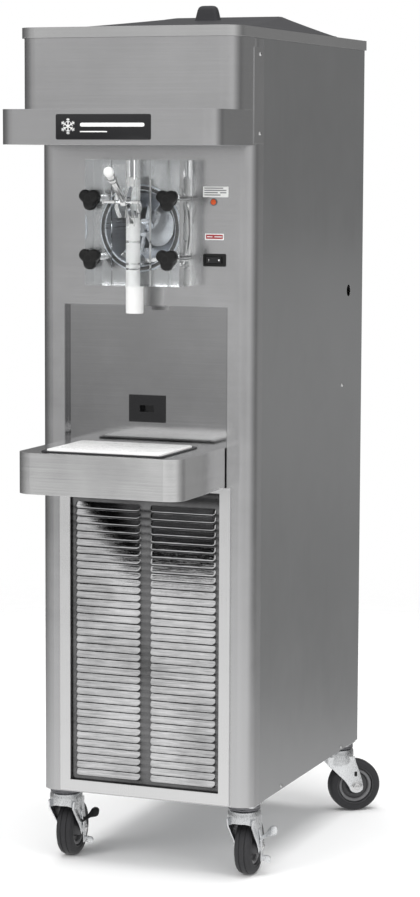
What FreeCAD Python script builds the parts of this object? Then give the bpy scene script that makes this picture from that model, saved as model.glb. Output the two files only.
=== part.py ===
"""Floor-standing soft serve machine on casters, built as a parametric FreeCAD document.

Units are millimetres and degrees.  +Z is up and the machine faces -Y.  The finished part stands on
Z = 0 with its overall box centred on the Z axis.  Every piece is drawn with Y = 0 on the plane of
the cabinet's front panel, and its Placement then moves it by front_y.
"""
import FreeCAD, Part
import math
import os
import re
import Sketcher

doc = FreeCAD.newDocument("soft_serve_machine")

# ---------------------------------------------------------------- driving dimensions
DIMENSIONS = [
    ("front_y", -205.97, "cabinet front panel, from the origin"),
    ("gap", 0.3, "running gap between pieces that move past each other"),
    ("sheet", 1.5, "thickness of the sheet metal panels"),
    ("body_w", 406, "cabinet width"),
    ("body_d", 600, "cabinet depth"),
    ("base_z", 138, "underside of the cabinet"),
    ("body_top", 1482, "top edge of the side panels"),
    ("corner_r", 26, "rounded front corners of the cabinet"),
    ("seam_y", 43, "seam between the front and side panels"),
    ("return_w", 15, "inward returns of the side panels"),
    ("rim_top", 1500, "top of the rim round the hopper"),
    ("rim_lip", 4, "how far the rim stands outside the panels"),
    ("hood_reach", 84, "top hood, forward of the front panel"),
    ("hood_r", 32, "rounded corners of the top hood"),
    ("tab_top", 1466, "top of the side fixing tabs of the hood and band"),
    ("band_reach", 168, "header band, forward of the front panel"),
    ("band_low", 1299, "underside of the header band"),
    ("band_high", 1359, "top of the header band"),
    ("band_r", 28, "rounded corners of the header band"),
    ("plate_w", 174, "name plate width"),
    ("plate_h", 43, "name plate height"),
    ("plate_x", -6, "name plate centre"),
    ("shelf_w", 306, "drip shelf width"),
    ("shelf_reach", 213, "drip shelf, forward of the front panel"),
    ("shelf_low", 706, "underside of the drip shelf"),
    ("shelf_high", 777, "top of the drip shelf"),
    ("shelf_r", 30, "rounded corners of the drip shelf"),
    ("pan_w", 226, "drip pan rim width"),
    ("pan_d", 168, "drip pan rim depth"),
    ("pan_y", -110, "drip pan centre"),
    ("pan_deep", 34, "depth of the drip pan"),
    ("insert_t", 12, "thickness of the drip insert"),
    ("insert_top", 782, "top of the drip insert"),
    ("recess_w", 310, "splash recess width"),
    ("recess_d", 12, "splash recess depth"),
    ("recess_top", 1021, "top of the splash recess"),
    ("recess_low", 700, "bottom of the splash recess"),
    ("drawer_w", 68, "drip drawer front width"),
    ("drawer_h", 48, "drip drawer front height"),
    ("drawer_z", 838, "drip drawer centre height"),
    ("drawer_d", 180, "drip drawer length"),
    ("grille_w", 326, "grille frame width"),
    ("grille_low", 141, "bottom of the grille frame"),
    ("strip", 20, "width of the grille frame's strips"),
    ("strip_t", 4, "how far the grille frame stands proud"),
    ("louvre_rows", 37, "louvres in one column"),
    ("louvre_pitch", 13.5, "louvre spacing"),
    ("louvre_low", 170, "bottom of the lowest louvre"),
    ("louvre_in", 9, "inner ends of the louvres"),
    ("louvre_out", 135, "outer ends of the louvres"),
    ("louvre_h", 9, "height of one louvre"),
    ("louvre_bulge", 5, "how far a louvre stands out"),
    ("grille_y", 4, "face of the louvre panel, behind the front panel"),
    ("barrel_z", 1156, "axis of the freezing cylinder"),
    ("barrel_r", 65, "bore of the freezing cylinder"),
    ("barrel_wall", 4, "wall of the freezing cylinder"),
    ("barrel_d", 400, "length of the freezing cylinder"),
    ("flange_r", 76, "front flange of the freezing cylinder"),
    ("door_w", 177, "front door width"),
    ("door_low", 1057, "bottom of the front door"),
    ("door_high", 1274, "top of the front door"),
    ("door_d", 58, "front door thickness"),
    ("boss_w", 72, "raised middle of the door, width"),
    ("boss_d", 66, "raised middle of the door, depth"),
    ("bore_y", -46, "axis of the plunger's bore"),
    ("bore_r", 12.8, "radius of the plunger's bore"),
    ("plunger_r", 12.5, "plunger radius"),
    ("plunger_low", 1086, "bottom of the closed plunger"),
    ("plunger_high", 1245, "top of the closed plunger"),
    ("port_r", 10, "product port from the cylinder"),
    ("port_z", 1101, "product port height"),
    ("slot_w", 12, "lever slot width"),
    ("ear_r", 27, "radius of the door's two pivot ears"),
    ("ear_t", 8, "thickness of an ear"),
    ("pivot_y", -92, "lever pivot"),
    ("pivot_z", 1202, "lever pivot height"),
    ("pin_r", 3, "lever pin radius"),
    ("lever_rise", 37.7, "slope of the lever at rest"),
    ("lever_reach", 84, "pivot to the middle of the ball"),
    ("lever_tip", 50, "pivot to the tip inside the plunger"),
    ("lever_r", 6, "lever rod radius"),
    ("neck_r", 3.5, "radius of the lever's neck, behind the pivot"),
    ("tip_r", 4.5, "radius of the lever's tip"),
    ("ball_r", 9, "radius of the lever's ball"),
    ("sleeve_r", 8, "radius of the sleeve below the ball"),
    ("sleeve_l", 24, "length of the sleeve below the ball"),
    ("spout_r", 16, "spout extension radius"),
    ("spout_in_r", 11.5, "spout extension bore radius"),
    ("spout_low", 1009, "bottom of the spout extension"),
    ("seal_t", 4, "thickness of the door gasket"),
    ("stud_x", 72, "door studs, from the middle"),
    ("stud_z", 51, "door studs, above and below the cylinder axis"),
    ("stud_r", 4.7, "door stud radius"),
    ("stud_reach", 80, "door studs, forward of the front panel"),
    ("knob_lobe", 12.8, "lobe centres of a door knob"),
    ("lobe_r", 8, "lobe radius of a door knob"),
    ("knob_core_r", 13, "core radius of a door knob"),
    ("knob_t", 26, "door knob thickness"),
    ("light_x", 128.5, "indicator light"),
    ("light_z", 1202, "indicator light height"),
    ("light_r", 6.5, "indicator light radius"),
    ("switch_x", 130.5, "power switch centre"),
    ("switch_z", 1102, "power switch height"),
    ("switch_w", 42, "power switch width"),
    ("switch_h", 22, "power switch height overall"),
    ("hopper_w", 300, "hopper width inside"),
    ("hopper_front", 85, "hopper, front inside wall"),
    ("hopper_back", 485, "hopper, back inside wall"),
    ("hopper_low", 1292, "hopper floor"),
    ("cover_w", 360, "hopper cover width"),
    ("cover_front", 45, "hopper cover, front edge"),
    ("cover_back", 520, "hopper cover, back edge"),
    ("cover_top", 1538, "ridge of the hopper cover"),
    ("ridge_y", 400, "ridge of the hopper cover, from the front panel"),
    ("ridge_w", 214, "length of the ridge"),
    ("ridge_t", 12, "width of the flat along the ridge"),
    ("cover_edge", 5, "height of the cover's upright edge"),
    ("cover_t", 3, "thickness of the cover"),
    ("grip_y", 296, "cover knob"),
    ("grip_z", 1521, "foot of the cover knob"),
    ("grip_h", 33, "cover knob height"),
    ("grip_w", 52, "cover knob width"),
    ("grip_d", 30, "cover knob depth"),
    ("feed_y", 300, "feed tube"),
    ("feed_r", 10, "feed tube radius"),
    ("port_hole_y", 517, "round hole in the right side panel"),
    ("port_hole_z", 1027, "round hole in the right side panel, height"),
    ("port_hole_r", 11, "round hole in the right side panel, radius"),
    ("caster_x", 174, "caster swivel axes, from the middle"),
    ("front_inset", 46, "front caster swivel axes, from the front"),
    ("rear_inset", 31, "rear caster swivel axes, from the back"),
    ("trail", 32, "caster wheel behind its swivel"),
    ("front_turn", 4, "front casters turned, degrees"),
    ("rear_turn", 56, "rear casters turned, degrees"),
    ("pedal_x", 46.5, "brake pedal's middle, from the wheel's middle"),
    ("pedal_z", 33.5, "brake pedal's middle, above the axle"),
    ("wheel_r", 50.8, "wheel radius"),
    ("tread_w", 30, "tyre width"),
    ("tyre_in", 36, "inside of the tyre"),
    ("axle_r", 5, "axle radius"),
    ("crown_r", 30, "fork crown radius"),
    ("crown_z", 126, "top of the fork crown"),
    ("leg_in", 19.5, "inside faces of the fork legs"),
    ("leg_t", 3, "thickness of the fork legs"),
    ("pump_x", 30, "compressor axis"),
    ("pump_y", 440, "compressor axis, from the front panel"),
    ("pump_r", 72, "compressor radius"),
    ("fan_z", 420, "fan axis height"),
    ("fan_y", 108, "fan plane"),
    ("fan_r", 120, "fan radius"),
    ("screw_r", 3.6, "panel screw head radius"),
]
SIZE = {name: value for name, value, note in DIMENSIONS}

dim = doc.addObject("Spreadsheet::Sheet", "dim")
for row, (name, value, note) in enumerate(DIMENSIONS, 1):
    dim.set(f"A{row}", name)
    dim.set(f"B{row}", str(value))
    dim.setAlias(f"B{row}", name)
    dim.set(f"C{row}", note)
doc.recompute()

X, Y, Z = FreeCAD.Vector(1, 0, 0), FreeCAD.Vector(0, 1, 0), FreeCAD.Vector(0, 0, 1)
PLANES = {"XY": "XY_Plane", "XZ": "XZ_Plane", "YZ": "YZ_Plane"}
PIECES = []
OWN_Y = {}


# ---------------------------------------------------------------- expressions and placements
def ex(text):
    """The expression with each dimension's name looked up in the sheet."""
    return re.sub(r"[a-z_]+", lambda word: "dim." + word[0] if word[0] in SIZE else word[0], str(text))


def bind(thing, prop, text):
    thing.setExpression(prop, ex(text))


def put(thing, x, y, z):
    """Place a primitive, and remember its Y for finish()."""
    bind(thing, "Placement.Base.x", x)
    bind(thing, "Placement.Base.y", y)
    bind(thing, "Placement.Base.z", z)
    OWN_Y[thing.Name] = y


def finish(label, thing):
    """Name a finished piece and move it from the front panel's frame into the part's frame."""
    thing.Label = label
    bind(thing, "Placement.Base.y", f"front_y + ({OWN_Y.get(thing.Name, 0)})")
    PIECES.append(thing)
    return thing


# ---------------------------------------------------------------- primitives and booleans
def block(name, x, y, z):
    """Box between two corners, each coordinate an expression."""
    thing = doc.addObject("Part::Box", name)
    for prop, (low, high) in zip(("Length", "Width", "Height"), (x, y, z)):
        bind(thing, prop, f"({high}) - ({low})")
    put(thing, x[0], y[0], z[0])
    return thing


def span(half):
    """Low and high of a symmetric width."""
    return f"-({half})", f"{half}"


def about(middle, half):
    """Low and high of a width about a middle."""
    return f"{middle} - ({half})", f"{middle} + ({half})"


def rod(name, radius, axis, start, length):
    """Cylinder from a start point along an axis."""
    thing = doc.addObject("Part::Cylinder", name)
    bind(thing, "Radius", radius)
    bind(thing, "Height", length)
    thing.Placement.Rotation = FreeCAD.Rotation(Z, axis)
    put(thing, *start)
    return thing


def ball(name, radius, centre):
    thing = doc.addObject("Part::Sphere", name)
    bind(thing, "Radius", radius)
    put(thing, *centre)
    return thing


def join(name, things):
    thing = doc.addObject("Part::MultiFuse", name)
    thing.Shapes = things
    thing.Refine = True
    return thing


def cut(name, base, tools):
    thing = doc.addObject("Part::Cut", name)
    thing.Base = base
    thing.Tool = tools[0] if len(tools) == 1 else join(name + "_tools", tools)
    return thing


def group(name, things):
    """Several solids in one piece."""
    thing = doc.addObject("Part::Compound", name)
    thing.Links = things
    return thing


# ---------------------------------------------------------------- sketches and PartDesign features
def new_body(name):
    return doc.addObject("PartDesign::Body", name)


def rect(u_low, u_high, v_low, v_high):
    return [(u_low, v_low), (u_high, v_low), (u_high, v_high), (u_low, v_high)]


def circle(u, v, radius):
    return ("circle", u, v, radius)


def draw_circle(sketch, u, v, radius):
    index = sketch.addGeometry(Part.Circle(FreeCAD.Vector(1, 1, 0), Z, 1))
    for kind, text in (("DistanceX", u), ("DistanceY", v)):
        number = sketch.addConstraint(Sketcher.Constraint(kind, -1, 1, index, 3, 1.0))
        sketch.setExpression(f"Constraints[{number}]", ex(text))
    number = sketch.addConstraint(Sketcher.Constraint("Radius", index, 1.0))
    sketch.setExpression(f"Constraints[{number}]", ex(radius))


def draw_outline(sketch, corners):
    """Closed polygon; each corner is a pair of expressions."""
    first = sketch.GeometryCount
    count = len(corners)
    turns = [2 * math.pi * number / count for number in range(count)]
    start = [FreeCAD.Vector(10 * math.cos(turn), 10 * math.sin(turn), 0) for turn in turns]
    for number in range(count):
        sketch.addGeometry(Part.LineSegment(start[number], start[(number + 1) % count]))
    for number in range(count):
        after = first + (number + 1) % count
        sketch.addConstraint(Sketcher.Constraint("Coincident", first + number, 2, after, 1))
    for number, corner in enumerate(corners):
        for kind, guess, text in zip(("DistanceX", "DistanceY"), start[number], corner):
            index = sketch.addConstraint(Sketcher.Constraint(kind, -1, 1, first + number, 1, guess))
            sketch.setExpression(f"Constraints[{index}]", ex(text))


def new_sketch(owner, plane, shapes, offset):
    """Sketch on one of the body's own origin planes, offset along the plane's normal."""
    sketch = owner.newObject("Sketcher::SketchObject", owner.Name + "_sketch")
    origin = [item for item in owner.Origin.OriginFeatures if item.Role == PLANES[plane]]
    sketch.AttachmentSupport = [(origin[0], "")]
    sketch.MapMode = "FlatFace"
    bind(sketch, "AttachmentOffset.Base.z", offset)
    for shape in shapes:
        if shape[0] == "circle":
            draw_circle(sketch, *shape[1:])
        else:
            draw_outline(sketch, shape)
    return sketch


def pad(owner, plane, shapes, low, high):
    """Material between two levels across the plane.  The XZ plane's normal is -Y."""
    offset = f"-({high})" if plane == "XZ" else low
    feature = owner.newObject("PartDesign::Pad", owner.Name + "_pad")
    feature.Profile = new_sketch(owner, plane, shapes, offset)
    bind(feature, "Length", f"({high}) - ({low})")
    return feature


def pocket(owner, plane, shapes, low, high):
    """Hole between two levels across the plane."""
    offset = f"-({low})" if plane == "XZ" else high
    feature = owner.newObject("PartDesign::Pocket", owner.Name + "_pocket")
    feature.Profile = new_sketch(owner, plane, shapes, offset)
    bind(feature, "Length", f"({high}) - ({low})")
    return feature


def revolve(owner, shapes):
    """Full turn of a profile in the XY plane about the body's X axis."""
    feature = owner.newObject("PartDesign::Revolution", owner.Name + "_turned")
    sketch = new_sketch(owner, "XY", shapes, 0)
    feature.Profile = sketch
    feature.ReferenceAxis = (sketch, ["H_Axis"])
    feature.Angle = 360
    return feature


def soften(owner, radius, axis, where):
    """Fillet the body's straight edges along an axis whose middles pass the test."""
    doc.recompute()
    base = owner.Tip
    names = []
    for number, edge in enumerate(base.Shape.Edges, 1):
        straight = edge.Curve.TypeId == "Part::GeomLine"
        if straight and abs(edge.tangentAt(edge.FirstParameter).dot(axis)) > 0.999:
            if where(edge.CenterOfMass):
                names.append(f"Edge{number}")
    feature = owner.newObject("PartDesign::Fillet", owner.Name + "_round")
    feature.Base = (base, names)
    bind(feature, "Radius", radius)


def corners_at(half_width, depth):
    """Test for vertical edges at a given half width and depth."""
    return lambda point: abs(abs(point.x) - half_width) < 0.1 and abs(point.y - depth) < 0.1


# ---------------------------------------------------------------- cabinet
def base_frame():
    """Floor pan with turned-up edges, four corner posts and two cross rails."""
    half = "body_w / 2 - sheet - gap"
    back = "body_d - sheet * 2 - gap"
    floor = ("base_z", "base_z + 3")
    pan = block("pan", span(f"{half} - corner_r"), ("sheet + gap", back), floor)
    wings = block("wings", span(half), ("seam_y + sheet + gap", back), floor)
    parts = [pan, wings]
    for side in (-1, 1):
        for place, (low, high) in (("front", ("50", "80")), ("back", (f"{back} - 30", back))):
            inner, outer = sorted((side * 150, side * 178))
            name = f"post_{place}_{'left' if side < 0 else 'right'}"
            solid = block(name, (inner, outer), (low, high), ("base_z", "body_top - 4"))
            hollow = block(name + "_in", (inner + 2, outer - 2), (f"{low} + 2", f"{high} - 2"),
                           ("base_z + 3", "body_top - 4"))
            parts.append(cut(name + "_tube", solid, [hollow]))
    for place, low in (("front", "50"), ("back", f"{back} - 30")):
        rail = block(f"rail_{place}", ("-150", "150"), (low, f"{low} + 30"), ("1000", "1006"))
        parts.append(rail)
    finish("base_frame", join("base_frame", parts))


def side_panel(label, side):
    """Flat side with inward returns down its front and back edges."""
    owner = new_body(label)
    outer, inner, lip = (f"{side} * (body_w / 2{less})" for less in ("", " - sheet", " - return_w"))
    front, back = "seam_y + gap / 2", "body_d"
    profile = [(outer, front), (outer, back), (lip, back), (lip, f"{back} - sheet"),
               (inner, f"{back} - sheet"), (inner, f"{front} + sheet"),
               (lip, f"{front} + sheet"), (lip, front)]
    pad(owner, "XY", [profile], "base_z", "body_top")
    if side > 0:
        pocket(owner, "YZ", [circle("port_hole_y", "port_hole_z", "port_hole_r")],
               "body_w / 2 - sheet - 1", "body_w / 2 + 1")
    finish(label, owner)


def back_panel():
    """Flat back with a block of air slots and the hole for the power inlet."""
    owner = new_body("back_panel")
    half = "body_w / 2 - return_w - gap"
    pad(owner, "XZ", [rect(f"-({half})", half, "base_z + 3", "body_top - 4")], "body_d - sheet", "body_d")
    pocket(owner, "XZ", [circle("120", "base_z + 90", "14")], "body_d - sheet - 1", "body_d + 1")
    slot = pocket(owner, "XZ", [rect("-120", "120", "300", "306")], "body_d - sheet - 1", "body_d + 1")
    repeat = owner.newObject("PartDesign::LinearPattern", "back_slots")
    repeat.Originals = [slot]
    repeat.Direction = (slot.Profile[0], ["V_Axis"])
    repeat.Length = 330
    repeat.Occurrences = 16
    owner.Tip = repeat
    finish("back_panel", owner)


def front_panel():
    """Wrapped front with rounded corners, opened for the cylinder, controls, splash and grille."""
    owner = new_body("front_panel")
    half, seam = "body_w / 2", "seam_y - gap / 2"
    profile = [(f"-{half}", seam), (f"-{half}", "0"), (half, "0"), (half, seam),
               (f"{half} - sheet", seam), (f"{half} - sheet", "sheet"),
               (f"sheet - {half}", "sheet"), (f"sheet - {half}", seam)]
    pad(owner, "XY", [profile], "base_z", "body_top")
    width, wall = SIZE["body_w"] / 2, SIZE["sheet"]
    soften(owner, "corner_r - sheet", Z, corners_at(width - wall, wall))
    soften(owner, "corner_r", Z, corners_at(width, 0))
    window = rect("-recess_w / 2", "recess_w / 2", "grille_low + 10", "recess_top")
    holes = [window, circle("0", "barrel_z", "flange_r + gap"), circle("light_x", "light_z", "light_r - 1"),
             rect("switch_x - switch_w / 2 + 3", "switch_x + switch_w / 2 - 3",
                  "switch_z - switch_h / 2 + 3", "switch_z + switch_h / 2 - 3")]
    for side in (-1, 1):
        for level in (-1, 1):
            holes.append(circle(f"{side} * stud_x", f"barrel_z + {level} * stud_z", "stud_r + gap"))
    pocket(owner, "XZ", holes, "-1", "sheet + 1")
    finish("front_panel", owner)


def splash_panel():
    """Shallow pan that lines the recess above the drip shelf, with a window for the drawer."""
    owner = new_body("splash_panel")
    half = "recess_w / 2"
    pad(owner, "XZ", [rect(f"-{half}", half, "recess_low", "recess_top")], "0", "recess_d + sheet")
    inside = rect(f"sheet - {half}", f"{half} - sheet", "recess_low + sheet", "recess_top - sheet")
    pocket(owner, "XZ", [inside], "-1", "recess_d")
    window = rect(*span("drawer_w / 2 - 4"), *about("drawer_z", "drawer_h / 2 - 4"))
    pocket(owner, "XZ", [window], "recess_d - 1", "recess_d + sheet + 1")
    finish("splash_panel", owner)


def louvre_frame():
    """Bright picture frame round the grille."""
    owner = new_body("louvre_frame")
    half = "grille_w / 2"
    outer = rect(f"-{half}", half, "grille_low", "shelf_low")
    inner = rect(f"strip - {half}", f"{half} - strip", "grille_low + strip", "shelf_low - strip / 2")
    pad(owner, "XZ", [outer, inner], "-strip_t", "0")
    finish("louvre_frame", owner)


def louvre_panel():
    """Grille sheet: two columns of hooded slots that open downwards."""
    owner = new_body("louvre_panel")
    half = "recess_w / 2 - 2"
    face, back = "grille_y", "grille_y + sheet"
    pad(owner, "XZ", [rect(*span(half), "grille_low + 11", "recess_low - 2")], face, back)
    hood = [("grille_y + sheet", "louvre_low + louvre_h"), ("grille_y", "louvre_low + louvre_h"),
            ("grille_y - louvre_bulge * 0.8", "louvre_low + louvre_h * 0.6"),
            ("grille_y - louvre_bulge", "louvre_low + louvre_h * 0.2"),
            ("grille_y - louvre_bulge + 1.2", "louvre_low + louvre_h * 0.2"),
            ("grille_y + sheet", "louvre_low + louvre_h * 0.75")]
    right = pad(owner, "YZ", [hood], "louvre_in", "louvre_out")
    left = pad(owner, "YZ", [hood], "-louvre_out", "-louvre_in")
    low, high = "louvre_low", "louvre_low + louvre_h * 0.6"
    slots = [rect("louvre_in + 1", "louvre_out - 1", low, high),
             rect("1 - louvre_out", "-louvre_in - 1", low, high)]
    opening = pocket(owner, "XZ", slots, f"{face} - 0.01", f"{back} + 1")
    repeat = owner.newObject("PartDesign::LinearPattern", "louvre_rows")
    repeat.Originals = [right, left, opening]
    repeat.Direction = (opening.Profile[0], ["V_Axis"])
    bind(repeat, "Occurrences", "louvre_rows")
    bind(repeat, "Length", "louvre_pitch * (louvre_rows - 1)")
    owner.Tip = repeat
    finish("louvre_panel", owner)


def top_rim():
    """Lipped cap over hood and cabinet, open over the hopper."""
    owner = new_body("top_rim")
    half, front, back = "body_w / 2 + rim_lip", "-hood_reach - rim_lip", "body_d + rim_lip"
    pad(owner, "XY", [rect(f"-({half})", half, front, back)], "body_top", "rim_top")
    inner = rect(f"2 - ({half})", f"{half} - 2", f"{front} + 2", f"{back} - 2")
    pocket(owner, "XY", [inner], "body_top - 1", "rim_top - 2")
    width, reach = SIZE["body_w"] / 2 + SIZE["rim_lip"], SIZE["hood_reach"] + SIZE["rim_lip"]
    soften(owner, "hood_r + rim_lip - 2", Z, corners_at(width - 2, 2 - reach))
    soften(owner, "hood_r + rim_lip", Z, corners_at(width, -reach))
    soften(owner, "6", Z, corners_at(width, SIZE["body_d"] + SIZE["rim_lip"]))
    mouth = rect("-hopper_w / 2", "hopper_w / 2", "hopper_front", "hopper_back")
    pocket(owner, "XY", [mouth], "rim_top - 3", "rim_top + 1")
    finish("top_rim", owner)


def top_hood():
    """Box-like hood in front of the hopper, with its side fixing tabs."""
    owner = new_body("top_hood")
    half = "body_w / 2"
    profile = [(f"-{half}", "0"), (f"-{half}", "-hood_reach"), (half, "-hood_reach"), (half, "0"),
               (f"{half} - sheet", "0"), (f"{half} - sheet", "sheet - hood_reach"),
               (f"sheet - {half}", "sheet - hood_reach"), (f"sheet - {half}", "0")]
    pad(owner, "XY", [profile], "band_high", "body_top")
    width, wall, reach = SIZE["body_w"] / 2, SIZE["sheet"], SIZE["hood_reach"]
    soften(owner, "hood_r - sheet", Z, corners_at(width - wall, wall - reach))
    soften(owner, "hood_r", Z, corners_at(width, -reach))
    for side, low, high in ((-1, f"-{half} - 1.2", f"-{half}"), (1, half, f"{half} + 1.2")):
        tab = rect("-6", "seam_y - 1", "band_low + 3", "tab_top")
        pad(owner, "YZ", [tab], low, high)
    finish("top_hood", owner)


def header_band():
    """Deep band above the door: a closed-topped pan with rounded front corners."""
    owner = new_body("header_band")
    half = "body_w / 2"
    pad(owner, "XY", [rect(f"-{half}", half, "-band_reach", "0")], "band_low", "band_high")
    inner = rect(f"sheet - {half}", f"{half} - sheet", "sheet - band_reach", "-sheet")
    pocket(owner, "XY", [inner], "band_low - 1", "band_high - sheet")
    width, wall, reach = SIZE["body_w"] / 2, SIZE["sheet"], SIZE["band_reach"]
    soften(owner, "band_r - sheet", Z, corners_at(width - wall, wall - reach))
    soften(owner, "band_r", Z, corners_at(width, -reach))
    finish("header_band", owner)


def name_plate():
    """Thin dark plate on the band."""
    owner = new_body("name_plate")
    low, high = "plate_x - plate_w / 2", "plate_x + plate_w / 2"
    middle = "(band_low + band_high) / 2"
    face = "-band_reach"
    pad(owner, "XZ", [rect(low, high, *about(middle, "plate_h / 2"))], f"{face} - 1.5", face)
    finish("name_plate", owner)


# ---------------------------------------------------------------- hopper
def hopper():
    """Stainless basin that hangs from the top rim by its flange."""
    wall = "sheet"
    half = "hopper_w / 2"
    flange = block("hopper_flange", span(f"{half} + 12"), ("hopper_front - 12", "hopper_back + 12"),
                   ("rim_top - 4", "rim_top - 2"))
    outside = block("hopper_out", span(f"{half} + {wall}"),
                    (f"hopper_front - {wall}", f"hopper_back + {wall}"),
                    (f"hopper_low - {wall}", "rim_top - 2"))
    inside = block("hopper_in", span(half), ("hopper_front", "hopper_back"), ("hopper_low", "rim_top"))
    drain = rod("hopper_drain", "feed_r", Z, ("0", "feed_y", "hopper_low - 5"), "10")
    finish("hopper", cut("hopper", join("hopper_skin", [flange, outside]), [inside, drain]))


def feed_tube():
    """Tube that lets mix down from the hopper into the freezing cylinder."""
    start = "barrel_z + barrel_r - 2"
    outer = rod("feed_out", "feed_r", Z, ("0", "feed_y", start), f"hopper_low + 40 - ({start})")
    inner = rod("feed_in", "feed_r - 3", Z, ("0", "feed_y", f"{start} - 1"), f"hopper_low + 50 - ({start})")
    finish("feed_tube", cut("feed_tube", outer, [inner]))


def hopper_cover():
    """Hollow hipped lid with a short upright edge."""
    def hip(name, margin, lift):
        """The slopes; a wedge stands on its Y axis, so it is laid over to stand on Z."""
        thing = doc.addObject("Part::Wedge", name)
        foot, ridge = span(f"cover_w / 2 - {margin}"), span(f"ridge_w / 2 - {margin}")
        limits = {"Xmin": foot[0], "Xmax": foot[1], "X2min": ridge[0], "X2max": ridge[1],
                  "Ymin": f"rim_top + cover_edge - {lift}", "Ymax": f"cover_top - {lift}",
                  "Zmin": f"{margin} - cover_back", "Zmax": f"-cover_front - {margin}",
                  "Z2min": "-ridge_y - ridge_t / 2", "Z2max": "ridge_t / 2 - ridge_y"}
        for prop, text in limits.items():
            bind(thing, prop, text)
        thing.Placement.Rotation = FreeCAD.Rotation(X, 90)
        return thing
    top = "rim_top + cover_edge"
    edge = block("edge_out", span("cover_w / 2"), ("cover_front", "cover_back"), ("rim_top + gap", top))
    depth_in = ("cover_front + cover_t", "cover_back - cover_t")
    edge_in = block("edge_in", span("cover_w / 2 - cover_t"), depth_in, ("rim_top - 1", top))
    solid = join("cover_solid", [edge, hip("hip_out", 0, 0)])
    finish("hopper_cover", cut("hopper_cover", solid, [edge_in, hip("hip_in", "cover_t", "cover_t")]))


def cover_knob():
    """Tapered grip on the cover's front slope; its foot reaches into the slope."""
    owner = new_body("cover_knob")
    levels = []
    for share, z in (("1 / 2", "grip_z"), ("1 / 3", "grip_z + grip_h")):
        outline = rect(*span(f"grip_w * {share}"), *about("grip_y", f"grip_d * {share}"))
        levels.append(new_sketch(owner, "XY", [outline], z))
    loft = owner.newObject("PartDesign::AdditiveLoft", "cover_knob_loft")
    loft.Profile, loft.Sections = levels[0], levels[1:]
    finish("cover_knob", owner)


# ---------------------------------------------------------------- freezing cylinder and door
def freezing_cylinder():
    """Tube with a front flange, a closed back and a mix inlet."""
    axis = ("0", "0", "barrel_z")
    tube = rod("cylinder_tube", "barrel_r + barrel_wall", Y, axis, "barrel_d")
    flange = rod("cylinder_flange", "flange_r", Y, axis, "8")
    bore = rod("cylinder_bore", "barrel_r", Y, ("0", "-1", "barrel_z"), "barrel_d - 5")
    shaft = rod("cylinder_shaft_hole", "12.5", Y, ("0", "barrel_d - 10", "barrel_z"), "20")
    inlet = rod("cylinder_inlet", "feed_r", Z, ("0", "feed_y", "barrel_z + barrel_r - 6"), "20")
    skin = join("cylinder_skin", [tube, flange])
    finish("freezing_cylinder", cut("freezing_cylinder", skin, [bore, shaft, inlet]))


def cylinder_insulation():
    """Foam jacket round the cylinder, with a hole for the feed tube."""
    start = ("0", "14", "barrel_z")
    outer = rod("foam_out", "barrel_r + 30", Y, start, "barrel_d - 24")
    inner = rod("foam_in", "barrel_r + barrel_wall", Y, ("0", "0", "barrel_z"), "barrel_d")
    feed = rod("foam_feed", "feed_r", Z, ("0", "feed_y", "barrel_z + barrel_r"), "60")
    finish("cylinder_insulation", cut("cylinder_insulation", outer, [inner, feed]))


def door_studs():
    """Square backing plate behind the front panel, with the four studs that hold the door."""
    plate = block("stud_plate", ("-stud_x - 14", "stud_x + 14"), ("sheet", "sheet + 5"),
                  ("barrel_z - stud_z - 26", "barrel_z + stud_z + 26"))
    hole = rod("stud_plate_hole", "flange_r", Y, ("0", "0", "barrel_z"), "20")
    parts = [cut("stud_plate_open", plate, [hole])]
    for side in (-1, 1):
        for level in (-1, 1):
            start = (f"{side} * stud_x", "-stud_reach", f"barrel_z + {level} * stud_z")
            parts.append(rod("stud", "stud_r", Y, start, "stud_reach + sheet + 5"))
    finish("door_studs", join("door_studs", parts))


def front_door():
    """Clear block with a raised middle, the plunger's bore, the product port and two pivot ears."""
    owner = new_body("front_door")
    half = "door_w / 2"
    pad(owner, "XY", [rect(f"-{half}", half, "-door_d", "0")], "door_low", "door_high")
    pad(owner, "XY", [rect("-boss_w / 2", "boss_w / 2", "-boss_d", "-door_d + 1")], "door_low", "door_high")
    root, nose = "1 - boss_d", "pivot_y - 9"
    ear = [(root, "pivot_z - ear_r"), ("pivot_y + 6", "pivot_z - ear_r"), (nose, "pivot_z - ear_r / 3"),
           (nose, "pivot_z + ear_r / 3"), ("pivot_y + 6", "pivot_z + ear_r"), (root, "pivot_z + ear_r")]
    near, far = "slot_w / 2 + 1", "slot_w / 2 + 1 + ear_t"
    pad(owner, "YZ", [ear], near, far)
    pad(owner, "YZ", [ear], f"-({far})", f"-({near})")
    pocket(owner, "XY", [circle("0", "bore_y", "bore_r")], "door_low - 1", "door_high + 1")
    slot = rect(*span("slot_w / 2"), "-boss_d - 1", "bore_y")
    pocket(owner, "XY", [slot], "pivot_z - 42", "door_high + 1")
    pocket(owner, "XZ", [circle("0", "port_z", "port_r")], "bore_y", "1")
    holes = [circle(f"{side} * stud_x", f"barrel_z + {level} * stud_z", "stud_r + gap")
             for side in (-1, 1) for level in (-1, 1)]
    pocket(owner, "XZ", holes, "-door_d - 1", "1")
    pocket(owner, "YZ", [circle("pivot_y", "pivot_z", "pin_r")], "-slot_w - ear_t", "slot_w + ear_t")
    pocket(owner, "XZ", gasket_ring(), "-seal_t", "1")
    finish("front_door", owner)


def gasket_ring():
    return [circle("0", "barrel_z", "barrel_r + 8"), circle("0", "barrel_z", "barrel_r + 2")]


def door_gasket():
    """Rubber ring in the door's back groove."""
    owner = new_body("door_gasket")
    pad(owner, "XZ", gasket_ring(), "-seal_t", "0")
    finish("door_gasket", owner)


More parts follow.
